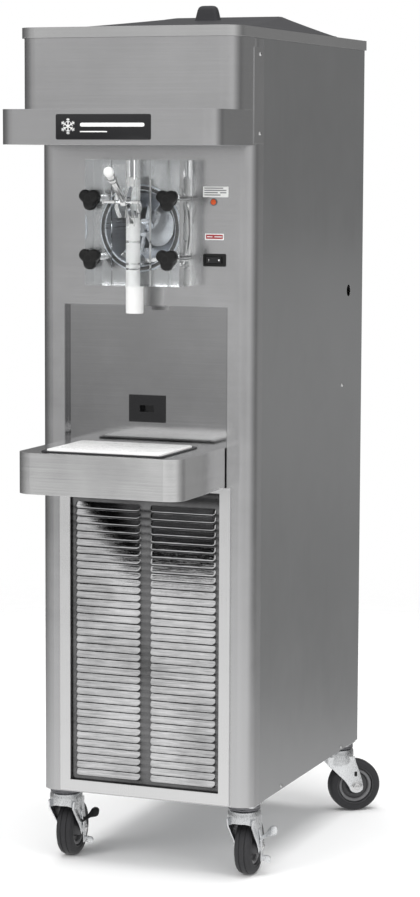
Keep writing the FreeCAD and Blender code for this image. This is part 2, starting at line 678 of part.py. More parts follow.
def spout_extension():
    """White tube below the door, with a neck that reaches up the door's bore to the closed plunger."""
    tube = rod("spout_out", "spout_r", Z, ("0", "bore_y", "spout_low"), "door_low - spout_low")
    neck = rod("spout_neck", "bore_r - gap", Z, ("0", "bore_y", "spout_low + 5"),
               "plunger_low - spout_low - 6")
    bore = rod("spout_bore", "spout_in_r", Z, ("0", "bore_y", "spout_low - 1"), "plunger_low - spout_low + 2")
    finish("spout_extension", cut("spout_extension", join("spout_solid", [tube, neck]), [bore]))


def plunger():
    """Draw valve: a rod with a window for the lever's tip."""
    height = "plunger_high - plunger_low"
    tip_z = "pivot_z - lever_tip * sin(lever_rise * 1deg)"
    shaft = rod("plunger_rod", "plunger_r", Z, ("0", "bore_y", "plunger_low"), height)
    window = block("plunger_window", span("slot_w / 2 - 0.2"), about("bore_y", "20"),
                   (f"{tip_z} - 6.5", f"{tip_z} + 15"))
    finish("plunger", cut("plunger", shaft, [window]))


def along_lever(reach):
    """Point on the lever's centre line, reach forward of the pivot."""
    y = f"pivot_y - ({reach}) * cos(lever_rise * 1deg)"
    z = f"pivot_z + ({reach}) * sin(lever_rise * 1deg)"
    return "0", y, z


def draw_lever():
    """Rod with a pivot eye; its rounded tip sits in the plunger's window."""
    slope = math.radians(SIZE["lever_rise"])
    forward = FreeCAD.Vector(0, -math.cos(slope), math.sin(slope))
    handle = rod("lever_handle", "lever_r", forward, along_lever("0"), "lever_reach - 4")
    neck = rod("lever_neck", "neck_r", forward, along_lever("-lever_tip"), "lever_tip")
    tip = ball("lever_ball_end", "tip_r", along_lever("-lever_tip"))
    eye = rod("lever_eye", "8", X, ("-5", "pivot_y", "pivot_z"), "10")
    hole = rod("lever_eye_hole", "pin_r + 0.05", X, ("-20", "pivot_y", "pivot_z"), "40")
    finish("draw_lever", cut("draw_lever", join("lever_solid", [handle, neck, tip, eye]), [hole]))


def lever_ball():
    """White ball and sleeve on the lever, bored to take the rod."""
    slope = math.radians(SIZE["lever_rise"])
    forward = FreeCAD.Vector(0, -math.cos(slope), math.sin(slope))
    whole = ball("ball_whole", "ball_r", along_lever("lever_reach"))
    sleeve = rod("ball_sleeve", "sleeve_r", forward, along_lever("lever_reach - sleeve_l"), "sleeve_l")
    hole = rod("ball_hole", "lever_r", forward, along_lever("lever_reach - sleeve_l - 4"), "sleeve_l")
    finish("lever_ball", cut("lever_ball", join("ball_solid", [whole, sleeve]), [hole]))


def lever_pin():
    """Pivot pin with a pull ring through its right end."""
    pin = rod("pin_rod", "pin_r", X, ("-38", "pivot_y", "pivot_z"), "68")
    head = rod("pin_head", "pin_r + 1.5", X, ("-40", "pivot_y", "pivot_z"), "3")
    ring = doc.addObject("Part::Torus", "pin_ring")
    ring.Radius1, ring.Radius2 = 9, 1
    ring.Placement.Rotation = FreeCAD.Rotation(Z, X)
    put(ring, "28", "pivot_y", "pivot_z - 9")
    finish("lever_pin", join("lever_pin", [pin, head, ring]))


def door_knob(label, side, level):
    """Three-lobed hand nut on one stud."""
    owner = new_body(label)
    front = "-door_d - gap - knob_t"
    x, z = f"{side} * stud_x", f"barrel_z + {level} * stud_z"
    pad(owner, "XZ", [circle(x, z, "knob_core_r")], front, "-door_d - gap")
    for lobe in range(3):
        turn = 30 + 120 * lobe
        u = f"{x} + knob_lobe * cos({turn} * 1deg)"
        v = f"{z} + knob_lobe * sin({turn} * 1deg)"
        pad(owner, "XZ", [circle(u, v, "lobe_r")], front, "-door_d - gap - 8")
    pocket(owner, "XZ", [circle(x, z, "stud_r + 0.05")], "-door_d - knob_t + 3", "-door_d + 1")
    finish(label, owner)


# ---------------------------------------------------------------- controls
def controls():
    """Indicator light, switch bezel and rocker on the front panel."""
    light = rod("light_body", "light_r - 1", Y, ("light_x", "-3", "light_z"), "18")
    lens = rod("light_lens", "light_r", Y, ("light_x", "-4", "light_z"), "4")
    finish("indicator_light", join("indicator_light", [light, lens]))

    low, high = "switch_x - switch_w / 2", "switch_x + switch_w / 2"
    bottom, top = "switch_z - switch_h / 2", "switch_z + switch_h / 2"
    frame = block("bezel_frame", (low, high), ("-2.5", "0"), (bottom, top))
    case = block("bezel_case", (f"{low} + 3", f"{high} - 3"), ("-1", "18"), (f"{bottom} + 3", f"{top} - 3"))
    well = block("bezel_well", (f"{low} + 5", f"{high} - 5"), ("-5", "12"), (f"{bottom} + 5", f"{top} - 5"))
    finish("switch_bezel", cut("switch_bezel", join("bezel_solid", [frame, case]), [well]))

    owner = new_body("power_rocker")
    half = "switch_w / 2 - 7.5"
    profile = [(f"-({half})", "-5.5"), ("0", "-2"), (half, "-2.6"),
               (f"{half} - 5", "8"), (f"5 - ({half})", "8")]
    shifted = [(f"switch_x + {u}", v) for u, v in profile]
    pad(owner, "XY", [shifted], f"{bottom} + 5.6", f"{top} - 5.6")
    finish("power_rocker", owner)


# ---------------------------------------------------------------- drip shelf, pan and drawer
def drip_shelf():
    """Inverted pan with rounded front corners, a flange into the recess, and a mouth for the drip pan."""
    owner = new_body("drip_shelf")
    half = "shelf_w / 2"
    pad(owner, "XY", [rect(f"-{half}", half, "-shelf_reach", "-strip_t - gap")], "shelf_low", "shelf_high")
    inner = rect(f"sheet - {half}", f"{half} - sheet", "sheet - shelf_reach", "-strip_t - gap - sheet")
    pocket(owner, "XY", [inner], "shelf_low - 1", "shelf_high - sheet")
    flange = rect(f"-{half}", half, "-strip_t - gap - sheet", "recess_d - gap")
    pad(owner, "XY", [flange], "shelf_high - sheet", "shelf_high")
    width, wall, reach = SIZE["shelf_w"] / 2, SIZE["sheet"], SIZE["shelf_reach"]
    soften(owner, "shelf_r - sheet", Z, corners_at(width - wall, wall - reach))
    soften(owner, "shelf_r", Z, corners_at(width, -reach))
    mouth = rect("4 - pan_w / 2", "pan_w / 2 - 4", "pan_y - pan_d / 2 + 4", "pan_y + pan_d / 2 - 4")
    pocket(owner, "XY", [mouth], "shelf_high - 3", "shelf_high + 1")
    finish("drip_shelf", owner)


def pan_block(name, margin, low, high):
    """Box concentric with the drip pan, inside its rim by a margin."""
    return block(name, (f"{margin} - pan_w / 2", f"pan_w / 2 - {margin}"),
                 (f"pan_y - pan_d / 2 + {margin}", f"pan_y + pan_d / 2 - {margin}"), (low, high))


def drip_pan():
    """Lift-out pan: a rolled rim on the shelf, a basin, and a ledge that carries the insert."""
    rim = pan_block("pan_rim", 0, "shelf_high + 0.1", "shelf_high + 2.5")
    basin = pan_block("pan_basin", 4.5, "shelf_high - pan_deep", "shelf_high + 1")
    upper = pan_block("pan_upper", 6, "insert_top - insert_t", "shelf_high + 3")
    lower = pan_block("pan_lower", 10, "shelf_high - pan_deep + 1.5", "shelf_high + 3")
    finish("drip_pan", cut("drip_pan", join("pan_solid", [rim, basin]), [upper, lower]))


def drip_insert():
    """White slab on the pan's ledge, with rounded corners; drips run off round its edge."""
    owner = new_body("drip_insert")
    margin = 7
    outline = rect(f"{margin} - pan_w / 2", f"pan_w / 2 - {margin}",
                   f"pan_y - pan_d / 2 + {margin}", f"pan_y + pan_d / 2 - {margin}")
    pad(owner, "XY", [outline], "insert_top - insert_t + 0.1", "insert_top")
    soften(owner, "8", Z, lambda point: True)
    finish("drip_insert", owner)


def drip_drawer():
    """Pull-out catch drawer: a front with a finger slot, and an open-topped box behind it."""
    half, low, high = "drawer_w / 2", "drawer_z - drawer_h / 2", "drawer_z + drawer_h / 2"
    face = block("drawer_face", span(half), ("recess_d - 3.3", "recess_d - gap"), (low, high))
    box = block("drawer_box", span(f"{half} - 5"), ("recess_d - 1", "recess_d + drawer_d"),
                (f"{low} + 5", f"{high} - 5"))
    inside = block("drawer_inside", span(f"{half} - 7"), ("recess_d + 12", "recess_d + drawer_d - 2"),
                   (f"{low} + 7", f"{high} + 5"))
    finger = block("drawer_finger", span("13.5"), about("recess_d", "10"), about("drawer_z", "6"))
    finish("drip_drawer", cut("drip_drawer", join("drawer_solid", [face, box]), [inside, finger]))


# ---------------------------------------------------------------- drive and refrigeration
def auger():
    """Shaft through the cylinder, and the dasher it turns: three rings of arms and two scraper blades."""
    shaft = rod("auger_rod", "9", Y, ("0", "2", "barrel_z"), "barrel_d + 30")
    flat = block("auger_drive", span("8"), ("barrel_d + 31", "barrel_d + 44"), about("barrel_z", "8"))
    finish("auger_shaft", join("auger_shaft", [shaft, flat]))

    parts = []
    for number, y in enumerate((20, 190, 360)):
        parts.append(rod(f"dasher_hub_{number}", "16", Y, ("0", y, "barrel_z"), "16"))
        parts.append(block(f"dasher_arm_{number}", span("6"), (y, y + 16), about("barrel_z", "barrel_r - 6")))
    for low, high in (("barrel_r - 12", "barrel_r - 3"), ("3 - barrel_r", "12 - barrel_r")):
        height = (f"barrel_z + {low}", f"barrel_z + {high}")
        parts.append(block("dasher_blade", span("8"), ("12", "384"), height))
    hole = rod("dasher_bore", "9", Y, ("0", "0", "barrel_z"), "barrel_d")
    finish("auger_blades", cut("auger_blades", join("dasher_solid", parts), [hole]))


def gearbox():
    """Reduction gearbox behind the cylinder, with the shaft's bearing bore."""
    case = block("gear_case", span("55"), ("barrel_d + 12", "barrel_d + 80"),
                 ("barrel_z - 70", "barrel_z + 60"))
    neck = rod("gear_neck", "28", Y, ("0", "barrel_d", "barrel_z"), "20")
    bore = rod("gear_bore", "12.5", Y, ("0", "barrel_d - 1", "barrel_z"), "55")
    finish("gearbox", cut("gearbox", join("gear_solid", [case, neck]), [bore]))


def drive_motor():
    """Motor on the gearbox's back."""
    can = rod("motor_can", "52", Y, ("0", "barrel_d + 80", "barrel_z"), "95")
    box = block("motor_box", span("25"), about("barrel_d + 125", "25"), ("barrel_z + 40", "barrel_z + 68"))
    finish("drive_motor", join("drive_motor", [can, box]))


def compressor():
    """Domed compressor on a base plate with four feet."""
    deck = "base_z + 20"
    can = rod("pump_can", "pump_r", Z, ("pump_x", "pump_y", deck), "130")
    dome = doc.addObject("Part::Ellipsoid", "pump_dome")
    dome.Radius1, dome.Angle1 = 34, 0
    bind(dome, "Radius2", "pump_r")
    bind(dome, "Radius3", "pump_r")
    put(dome, "pump_x", "pump_y", f"{deck} + 130")
    plate = block("pump_plate", about("pump_x", "90"), about("pump_y", "90"), (f"{deck} - 12", deck))
    feet = [block("pump_foot", about(x, "10"), about(y, "10"), ("base_z + 3", f"{deck} - 12"))
            for x in ("pump_x - 80", "pump_x + 80") for y in ("pump_y - 80", "pump_y + 80")]
    finish("compressor", join("compressor", [can, dome, plate] + feet))


def condenser():
    """Finned coil behind the grille, with its header plates."""
    low, high = "base_z + 30", "recess_low - 45"
    core = block("coil_core", ("-140", "140"), ("26", "62"), (low, high))
    ends = [block("coil_end", (x, x + 4), ("22", "66"), (f"{low} - 4", f"{high} + 4")) for x in (-144, 140)]
    foot = block("coil_foot", ("-144", "144"), ("22", "66"), ("base_z + 3", f"{low} + 1"))
    finish("condenser", join("condenser", [core, foot] + ends))


def fan():
    """Condenser fan: a motor on a bracket, and four pitched blades on a hub."""
    motor = rod("fan_can", "38", Y, ("0", "fan_y + 20", "fan_z"), "70")
    shaft = rod("fan_shaft", "4", Y, ("0", "fan_y - 12", "fan_z"), "40")
    foot = block("fan_post", ("-20", "20"), ("fan_y + 30", "fan_y + 80"), ("base_z + 3", "fan_z"))
    finish("fan_motor", join("fan_motor", [motor, shaft, foot]))

    hub = rod("fan_hub", "22", Y, ("0", "fan_y - 12", "fan_z"), "24")
    parts = [hub]
    for number in range(4):
        blade = doc.addObject("Part::Box", f"fan_blade_{number}")
        blade.Length, blade.Width, blade.Height = 70, 3, 1
        bind(blade, "Height", "fan_r - 10")
        turn = FreeCAD.Rotation(Y, 90 * number)
        blade.Placement.Rotation = turn.multiply(FreeCAD.Rotation(Z, 20))
        corner = turn.multVec(FreeCAD.Vector(-33, -12, 10))
        put(blade, corner.x, f"fan_y + {corner.y}", f"fan_z + {corner.z}")
        parts.append(blade)
    hole = rod("fan_hub_hole", "4.05", Y, ("0", "fan_y - 20", "fan_z"), "40")
    finish("fan_blades", cut("fan_blades", join("fan_solid", parts), [hole]))


def control_box():
    """Electrical box on the left of the cabinet."""
    finish("control_box", block("control_box", ("-148", "-88"), ("300", "440"), ("720", "960")))


def refrigerant_line():
    """Copper pipe from the compressor up to the freezing cylinder's jacket."""
    owner = new_body("refrigerant_line")
    path = owner.newObject("Sketcher::SketchObject", "line_path")
    plane = [item for item in owner.Origin.OriginFeatures if item.Role == "YZ_Plane"]
    path.AttachmentSupport = [(plane[0], "")]
    path.MapMode = "FlatFace"
    bind(path, "AttachmentOffset.Base.z", "110")
    low, high, y = SIZE["base_z"] + 15, SIZE["barrel_z"] - 60, 545
    path.addGeometry(Part.LineSegment(FreeCAD.Vector(y, low, 0), FreeCAD.Vector(y, high, 0)))
    pipe = owner.newObject("PartDesign::AdditivePipe", "line_pipe")
    pipe.Profile = new_sketch(owner, "XY", [circle("110", y, "5")], low)
    pipe.Spine = path
    finish("refrigerant_line", owner)


def power_inlet():
    """Cord gland in the back panel, without its cord."""
    at = lambda y: ("120", y, "base_z + 90")
    body = rod("gland_body", "14", Y, at("body_d - 22"), "20")
    flange = rod("gland_flange", "18", Y, at("body_d - sheet - 5"), "5")
    hole = rod("gland_hole", "6", Y, at("body_d - 30"), "40")
    nose = rod("gland_nose", "13.5", Y, at("body_d - 4"), "7.5")
    finish("power_inlet", cut("power_inlet", join("gland_solid", [body, flange, nose]), [hole]))


def panel_screws():
    """Domed screw heads with their shanks: hood tabs and side panels."""
    parts = []
    for side in (-1, 1):
        face = "body_w / 2"
        places = [("22", "tab_top - 11", 1.2), ("22", "band_low + 21", 1.2),
                  ("483", "849", 0), ("157", "base_z + 7", 0), ("499", "base_z + 6", 0)]
        for y, z, proud in places:
            head = f"{face} + {proud} + 2.2" if side > 0 else f"-{face} - {proud} - 2.2"
            inward = X * -side
            parts.append(rod("screw_head", "screw_r", inward, (head, y, z), "2.2"))
    finish("panel_screws", group("panel_screws", parts))


# ---------------------------------------------------------------- casters
def caster_places():
    """Label, X sign, Y and turn of each caster; the wheels trail along their turned +Y."""
    return [("front_left", -1, "front_inset", "front_turn"),
            ("front_right", 1, "front_inset", "front_turn"),
            ("rear_left", -1, "body_d - rear_inset", "rear_turn"),
            ("rear_right", 1, "body_d - rear_inset", "-rear_turn")]


def seat(label, thing, caster, forward="0", height="0"):
    """Place a piece drawn about the swivel axis, or about a point behind it."""
    name, side, y, turn = caster
    thing.Label = label
    thing.Placement.Rotation = FreeCAD.Rotation(Z, 1)
    bind(thing, "Placement.Rotation.Angle", f"({turn}) * 1deg")
    bind(thing, "Placement.Base.x", f"{side} * caster_x - ({forward}) * sin(({turn}) * 1deg)")
    bind(thing, "Placement.Base.y", f"front_y + ({y}) + ({forward}) * cos(({turn}) * 1deg)")
    bind(thing, "Placement.Base.z", height)
    PIECES.append(thing)


def caster_plates():
    """Four fixing plates with their ball races and king pins."""
    parts = []
    for name, side, y, turn in caster_places():
        x = f"{side} * caster_x"
        parts.append(join(f"plate_{name}", [
            block("plate_flat", about(x, "28"), about(y, "28"), ("base_z - 3.5", "base_z")),
            rod("plate_race", "crown_r - 1", Z, (x, y, "crown_z + gap"), "base_z - 3.5 - crown_z - gap"),
            rod("plate_king_pin", "6", Z, (x, y, "crown_z - 5"), "8")]))
    finish("caster_plates", group("caster_plates", parts))


def caster_fork(caster):
    """Pressed fork: round crown, two tapered legs, an arched opening, and its axle bolt."""
    name = "fork_" + caster[0]
    owner = new_body(name + "_body")
    outside = "leg_in + leg_t"
    pad(owner, "XY", [circle("0", "0", "crown_r")], "crown_z - 24", "crown_z")
    leg = [("-28", "crown_z - 8"), ("28", "crown_z - 8"), ("trail + 14", "wheel_r + 2"),
           ("trail + 8", "wheel_r - 12"), ("trail - 8", "wheel_r - 12"), ("trail - 14", "wheel_r - 1"),
           ("-28", "crown_z - 26")]
    pad(owner, "YZ", [leg], f"-({outside})", outside)
    arch = [rect("-leg_in", "leg_in", "0", "crown_z - 28")]
    pocket(owner, "XZ", arch, "-crown_r - 1", "trail + 40")
    pocket(owner, "XZ", [circle("0", "crown_z - 28", "leg_in")], "-crown_r - 1", "trail + 40")
    pocket(owner, "XY", [circle("0", "0", "6.1")], "crown_z - 20", "crown_z + 1")
    pocket(owner, "YZ", [circle("trail", "wheel_r", "axle_r")], f"-({outside}) - 1", f"{outside} + 1")
    ends = about("0", f"{outside} + 4")
    axle = rod(name + "_axle", "axle_r", X, (ends[0], "trail", "wheel_r"), f"2 * ({outside} + 4)")
    heads = [rod(name + "_head", "8", X, (f"{ends[0]} - 1", "trail", "wheel_r"), "5"),
             rod(name + "_nut", "8", X, (ends[1], "trail", "wheel_r"), "5")]
    seat("caster_" + name, group(name, [owner, join(name + "_bolt", [axle] + heads)]), caster)


def caster_wheel(caster):
    """Rubber tyre with two shallow grooves, on a dished hub."""
    name = "wheel_" + caster[0]
    tyre = new_body(name + "_tyre")
    half = "tread_w / 2"
    tread = [(f"5 - {half}", "wheel_r")]
    for groove in (-5, 5):
        tread += [(groove - 1, "wheel_r"), (groove, "wheel_r - 1.5"), (groove + 1, "wheel_r")]
    tread.append((f"{half} - 5", "wheel_r"))
    left = [(f"-{half}", "tyre_in"), (f"-{half}", "wheel_r - 5")]
    right = [(half, "wheel_r - 5"), (half, "tyre_in")]
    revolve(tyre, [left + tread + right])
    hub = new_body(name + "_hub")
    boss = "leg_in - gap"
    dish = [(boss, "axle_r + 0.05"), (boss, "14"), ("6", "16"), ("6", "tyre_in - 6"),
            (f"{half} - 1", "tyre_in - 4"), (f"{half} - 1", "tyre_in")]
    revolve(hub, [dish + [(f"-({u})", v) for u, v in reversed(dish)]])
    seat("caster_" + name, group(name, [tyre, hub]), caster, "trail", "wheel_r")


def caster_brake(caster):
    """Side brake lever on the axle, with an upper pedal and a lower release tab."""
    name = "brake_" + caster[0]
    owner = new_body(name)
    low = "leg_in + leg_t + gap"
    bar = [("-18", "34"), ("-6", "36"), ("8", "4"), ("4", "-26"), ("-8", "-26"), ("-8", "2")]
    pad(owner, "YZ", [bar], low, f"{low} + 2.5")
    stem = [(f"{low} + 1", "12"), ("pedal_x", "pedal_z - 8"), ("pedal_x - 4", "pedal_z + 6"),
            (f"{low} + 1", "25")]
    pad(owner, "XZ", [stem], "-13", "-9")
    pad(owner, "XZ", [circle("pedal_x", "pedal_z", "9")], "-13", "-9")
    pad(owner, "XY", [rect(f"{low} + 1", f"{low} + 15", "-7", "3")], "-24", "-20")
    pocket(owner, "YZ", [circle("0", "0", "axle_r + 0.05")], f"{low} - 1", f"{low} + 4")
    seat("caster_" + name, owner, caster, "trail", "wheel_r")


# ---------------------------------------------------------------- build, test and write
def build():
    base_frame()
    side_panel("left_side_panel", -1)
    side_panel("right_side_panel", 1)
    back_panel()
    front_panel()
    splash_panel()
    louvre_frame()
    louvre_panel()
    top_rim()
    top_hood()
    header_band()
    name_plate()
    hopper()
    feed_tube()
    hopper_cover()
    cover_knob()
    freezing_cylinder()
    cylinder_insulation()
    door_studs()
    front_door()
    door_gasket()
    spout_extension()
    plunger()
    draw_lever()
    lever_ball()
    lever_pin()
    for side, across in ((-1, "left"), (1, "right")):
        for level, height in ((-1, "lower"), (1, "upper")):
            door_knob(f"door_knob_{height}_{across}", side, level)
    controls()
    drip_shelf()
    drip_pan()
    drip_insert()
    drip_drawer()
    auger()
    gearbox()
    drive_motor()
    compressor()
    condenser()
    fan()
    control_box()
    refrigerant_line()
    power_inlet()
    panel_screws()
    caster_plates()
    for caster in caster_places():
        caster_fork(caster)
        caster_wheel(caster)
    for caster in caster_places()[:2]:
        caster_brake(caster)


def test():
    """Stop if any object failed, if a pocket cut nothing, or if a piece is not sound."""
    failed = [thing.Name for thing in doc.Objects if {"Invalid", "Error"} & set(thing.State)]
    if failed:
        raise RuntimeError(f"failed: {failed}")
    for thing in doc.Objects:
        if thing.TypeId == "PartDesign::Pocket":
            if thing.Shape.Volume > thing.BaseFeature.Shape.Volume - 0.01:
                raise RuntimeError(f"{thing.Name} cut nothing")
    for piece in PIECES:
        if piece.Shape.isNull() or not piece.Shape.isValid() or not piece.Shape.Solids:
            raise RuntimeError(f"{piece.Label} is not a sound solid")


def write():
    os.makedirs("parts", exist_ok=True)
    for old in os.listdir("parts"):
        os.remove(os.path.join("parts", old))
    box = FreeCAD.BoundBox()
    for piece in PIECES:
        piece.Shape.exportStep(f"parts/{piece.Label}.step")
        box.add(piece.Shape.BoundBox)
    print(len(PIECES), "pieces,", box)


build()
doc.recompute()
test()
write()
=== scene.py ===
"""Looks of the soft serve machine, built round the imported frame.

Helpers take millimetres: X from the middle, Y from the cabinet's front panel, Z from the floor.
"""
import math

import bmesh
import bpy
from mathutils import Matrix, Vector


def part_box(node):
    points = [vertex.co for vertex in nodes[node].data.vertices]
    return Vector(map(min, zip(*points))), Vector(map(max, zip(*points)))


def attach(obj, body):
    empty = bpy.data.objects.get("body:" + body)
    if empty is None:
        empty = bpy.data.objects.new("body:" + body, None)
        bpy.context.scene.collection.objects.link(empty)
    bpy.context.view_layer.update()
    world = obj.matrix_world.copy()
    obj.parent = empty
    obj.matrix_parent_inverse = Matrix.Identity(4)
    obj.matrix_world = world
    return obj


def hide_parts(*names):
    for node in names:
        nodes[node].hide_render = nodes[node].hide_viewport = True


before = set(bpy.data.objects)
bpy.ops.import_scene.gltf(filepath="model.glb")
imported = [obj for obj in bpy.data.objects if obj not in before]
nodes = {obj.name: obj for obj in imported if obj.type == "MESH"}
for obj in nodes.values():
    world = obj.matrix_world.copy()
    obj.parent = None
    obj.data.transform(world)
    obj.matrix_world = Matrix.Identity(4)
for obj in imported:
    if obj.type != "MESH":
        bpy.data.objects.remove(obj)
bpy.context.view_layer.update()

MM = 0.001
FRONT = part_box("front_door")[1].y
HOME = Matrix.Translation((0, FRONT, 0)) @ Matrix.Scale(MM, 4)
CYLINDER = (0, 0, 1156)  # on the freezing cylinder's level axis
VALVE = (0, -46, 0)  # on the plunger's upright axis
PAN_Y, COVER_GRIP_Y = -110, 296  # middles of the drip pan and of the cover's grip


# ---------------------------------------------------------------- node materials
def add(tree, kind, props=None, **inputs):
    """New shader node; inputs are values or sockets, with _ for a space in their names."""
    made = tree.nodes.new(kind)
    for key, value in (props or {}).items():
        setattr(made, key, value)
    for key, value in inputs.items():
        plug(tree, made.inputs[key.replace("_", " ")], value)
    return made


def plug(tree, socket, value):
    """Link a socket into another one, or set its value."""
    if isinstance(value, bpy.types.NodeSocket):
        tree.links.new(value, socket)
    else:
        socket.default_value = value


def spread(tree, value, low, high, to_low, to_high):
    """Map a value from one range to another, kept within it."""
    return add(tree, "ShaderNodeMapRange", None, Value=value, From_Min=low, From_Max=high,
               To_Min=to_low, To_Max=to_high).outputs[0]


def blend(tree, share, one, two):
    made = tree.nodes.new("ShaderNodeMix")
    made.data_type = "RGBA"
    for index, value in ((0, share), (6, one), (7, two)):
        plug(tree, made.inputs[index], value)
    return made.outputs[2]


def maths(tree, kind, operation, one, two):
    """Math or vector math node on two inputs."""
    made = add(tree, kind, {"operation": operation})
    plug(tree, made.inputs[0], one)
    plug(tree, made.inputs[1], two)
    return made


def mix_shaders(tree, share, one, two):
    made = tree.nodes.new("ShaderNodeMixShader")
    for index, value in enumerate((share, one, two)):
        plug(tree, made.inputs[index], value)
    return made.outputs[0]


def rgba(colour, gain=1.0):
    return tuple(min(1.0, part * gain) for part in colour) + (1.0,)


def surface(name, colour, rough, grain, metallic=0.0, tone=0.06, bump=0.1, smudge=0.05,
            edge=0.6, worn=None, **sockets):
    """Material with a fine grain, a broad smudge, softened edges and a touch of wear along them."""
    made = bpy.data.materials.new(name)
    made.use_nodes = True
    tree = made.node_tree
    skin = tree.nodes["Principled BSDF"]
    skin.inputs["Metallic"].default_value = metallic
    for key, value in sockets.items():
        skin.inputs[key.replace("_", " ")].default_value = value
    place = add(tree, "ShaderNodeTexCoord").outputs["Object"]
    pulled = add(tree, "ShaderNodeMapping", None, Vector=place, Scale=grain).outputs[0]
    fine = add(tree, "ShaderNodeTexNoise", None, Vector=pulled, Scale=1.0, Detail=5.0,
               Roughness=0.65).outputs[0]
    broad = add(tree, "ShaderNodeTexNoise", None, Vector=place, Scale=7.0, Detail=4.0,
                Roughness=0.6).outputs[0]
    both = maths(tree, "ShaderNodeMath", "ADD", fine, broad).outputs[0]
    base = blend(tree, spread(tree, both, 0.7, 1.3, 0.0, 1.0), rgba(colour, 1 - tone), rgba(colour, 1 + tone))
    rounded = add(tree, "ShaderNodeBevel", {"samples": 4}, Radius=edge * MM).outputs[0]
    flat = add(tree, "ShaderNodeNewGeometry").outputs["Normal"]
    bend = maths(tree, "ShaderNodeVectorMath", "DOT_PRODUCT", rounded, flat)
    rim = spread(tree, bend.outputs["Value"], 0.995, 0.8, 0.0, 0.6)
    if worn:
        base = blend(tree, rim, base, rgba(worn))
    plug(tree, skin.inputs["Base Color"], base)
    plug(tree, skin.inputs["Roughness"],
         spread(tree, both, 0.7, 1.3, max(0.02, rough - smudge), rough + smudge))
    relief = add(tree, "ShaderNodeBump", None, Strength=bump, Distance=0.0004, Height=fine, Normal=rounded)
    plug(tree, skin.inputs["Normal"], relief.outputs[0])
    return made


def anisotropic(made, amount, turn):
    """Stretch a metal's reflections across its brushing."""
    tree = made.node_tree
    skin = tree.nodes["Principled BSDF"]
    skin.inputs["Anisotropic"].default_value = amount
    skin.inputs["Anisotropic Rotation"].default_value = turn
    around = add(tree, "ShaderNodeTangent", {"direction_type": "RADIAL", "axis": "Z"})
    plug(tree, skin.inputs["Tangent"], around.outputs[0])
    return made


def paint_hollow_shade(made, centre, colour=(0.1, 0.1, 0.1, 1)):
    """Paint shade onto the faces that look towards a point, such as the inner side of a folded pan, so its
    hollow reads dark.
    """
    tree = made.node_tree
    base = tree.nodes["Principled BSDF"].inputs["Base Color"]
    here = add(tree, "ShaderNodeNewGeometry")
    # Painted shade: faces turned towards the point are blended to the dark shade colour.
    away = maths(tree, "ShaderNodeVectorMath", "SUBTRACT", here.outputs["Position"], tuple(centre))
    facing = maths(tree, "ShaderNodeVectorMath", "DOT_PRODUCT", away.outputs[0], here.outputs["True Normal"])
    share = spread(tree, facing.outputs["Value"], 0.0, -0.001, 0.0, 1.0)
    plug(tree, base, blend(tree, share, base.links[0].from_socket, colour))


LEVEL_GRAIN, UPRIGHT_GRAIN, EVEN = (5, 5, 1400), (1400, 1400, 5), (900, 900, 900)
STEEL = (0.60, 0.60, 0.605)
front_steel = anisotropic(surface("front_steel", STEEL, 0.2, LEVEL_GRAIN, 1.0, tone=0.055, bump=0.04,
                                  worn=(0.8, 0.8, 0.8)), 0.4, 0.25)
shelf_steel = anisotropic(surface("shelf_steel", (0.84, 0.84, 0.84), 0.2, LEVEL_GRAIN, 1.0, tone=0.09,
                                  bump=0.06, worn=(0.95, 0.95, 0.95)), 0.4, 0.25)
side_steel = surface("side_steel", (0.56, 0.565, 0.57), 0.15, UPRIGHT_GRAIN, 1.0, tone=0.05, bump=0.03,
                     smudge=0.03, worn=(0.8, 0.8, 0.8))
splash_steel = surface("splash_steel", (0.46, 0.46, 0.465), 0.09, LEVEL_GRAIN, 1.0, tone=0.09, bump=0.02,
                       smudge=0.04)
barrel_steel = surface("barrel_steel", (0.6, 0.63, 0.68), 0.3, (300, 4, 300), 0.6, tone=0.12, bump=0.05)
# Painted shade: a darker copy of the dasher's steel for its front blade, muting its highlight.
shaded_blade_steel = surface("shaded_blade_steel", (0.36, 0.37, 0.39), 0.34, (300, 300, 300), 0.9, tone=0.2, bump=0.2,
                      worn=(0.8, 0.8, 0.82))
# Painted highlight: a lighter copy of the cabinet's steel for the top rim.
lit_rim_steel = surface("lit_rim_steel", (0.72, 0.72, 0.72), 0.18, LEVEL_GRAIN, 1.0, tone=0.05,
                    worn=(0.95, 0.95, 0.95))
trim_steel = surface("trim_steel", (0.86, 0.86, 0.86), 0.3, UPRIGHT_GRAIN, 1.0, tone=0.03,
                     worn=(0.95, 0.95, 0.95))
grille_steel = surface("grille_steel", (0.52, 0.52, 0.525), 0.1, (22, 340, 340), 1.0, tone=0.42, bump=0.6,
                       smudge=0.05)
speckled_steel = surface("speckled_steel", (0.17, 0.17, 0.172), 0.4, EVEN, 0.9, tone=0.5, bump=0.5)
# Painted light: a lighter copy of the steel, to lift the dark inside of the barrel and hopper.
lit_inner_steel = surface("lit_inner_steel", (0.8, 0.82, 0.86), 0.2, (300, 4, 300), 1.0, tone=0.1, bump=0.05)
galvanised = surface("galvanised", (0.5, 0.51, 0.52), 0.42, (30, 30, 30), 0.9, tone=0.18, bump=0.1)
polished = surface("polished", (0.78, 0.78, 0.78), 0.1, (200, 200, 200), 1.0, tone=0.06, bump=0.05)
ferrule = surface("ferrule", (0.72, 0.72, 0.72), 0.2, (300, 300, 40), 1.0, tone=0.08, worn=(0.9, 0.9, 0.9))
screw_steel = surface("screw_steel", (0.7, 0.7, 0.7), 0.22, EVEN, 1.0, worn=(0.85, 0.85, 0.85))
zinc = surface("zinc", (0.7, 0.71, 0.72), 0.26, (420, 420, 260), 1.0, tone=0.28, bump=0.5, smudge=0.12,
               worn=(0.92, 0.92, 0.92))
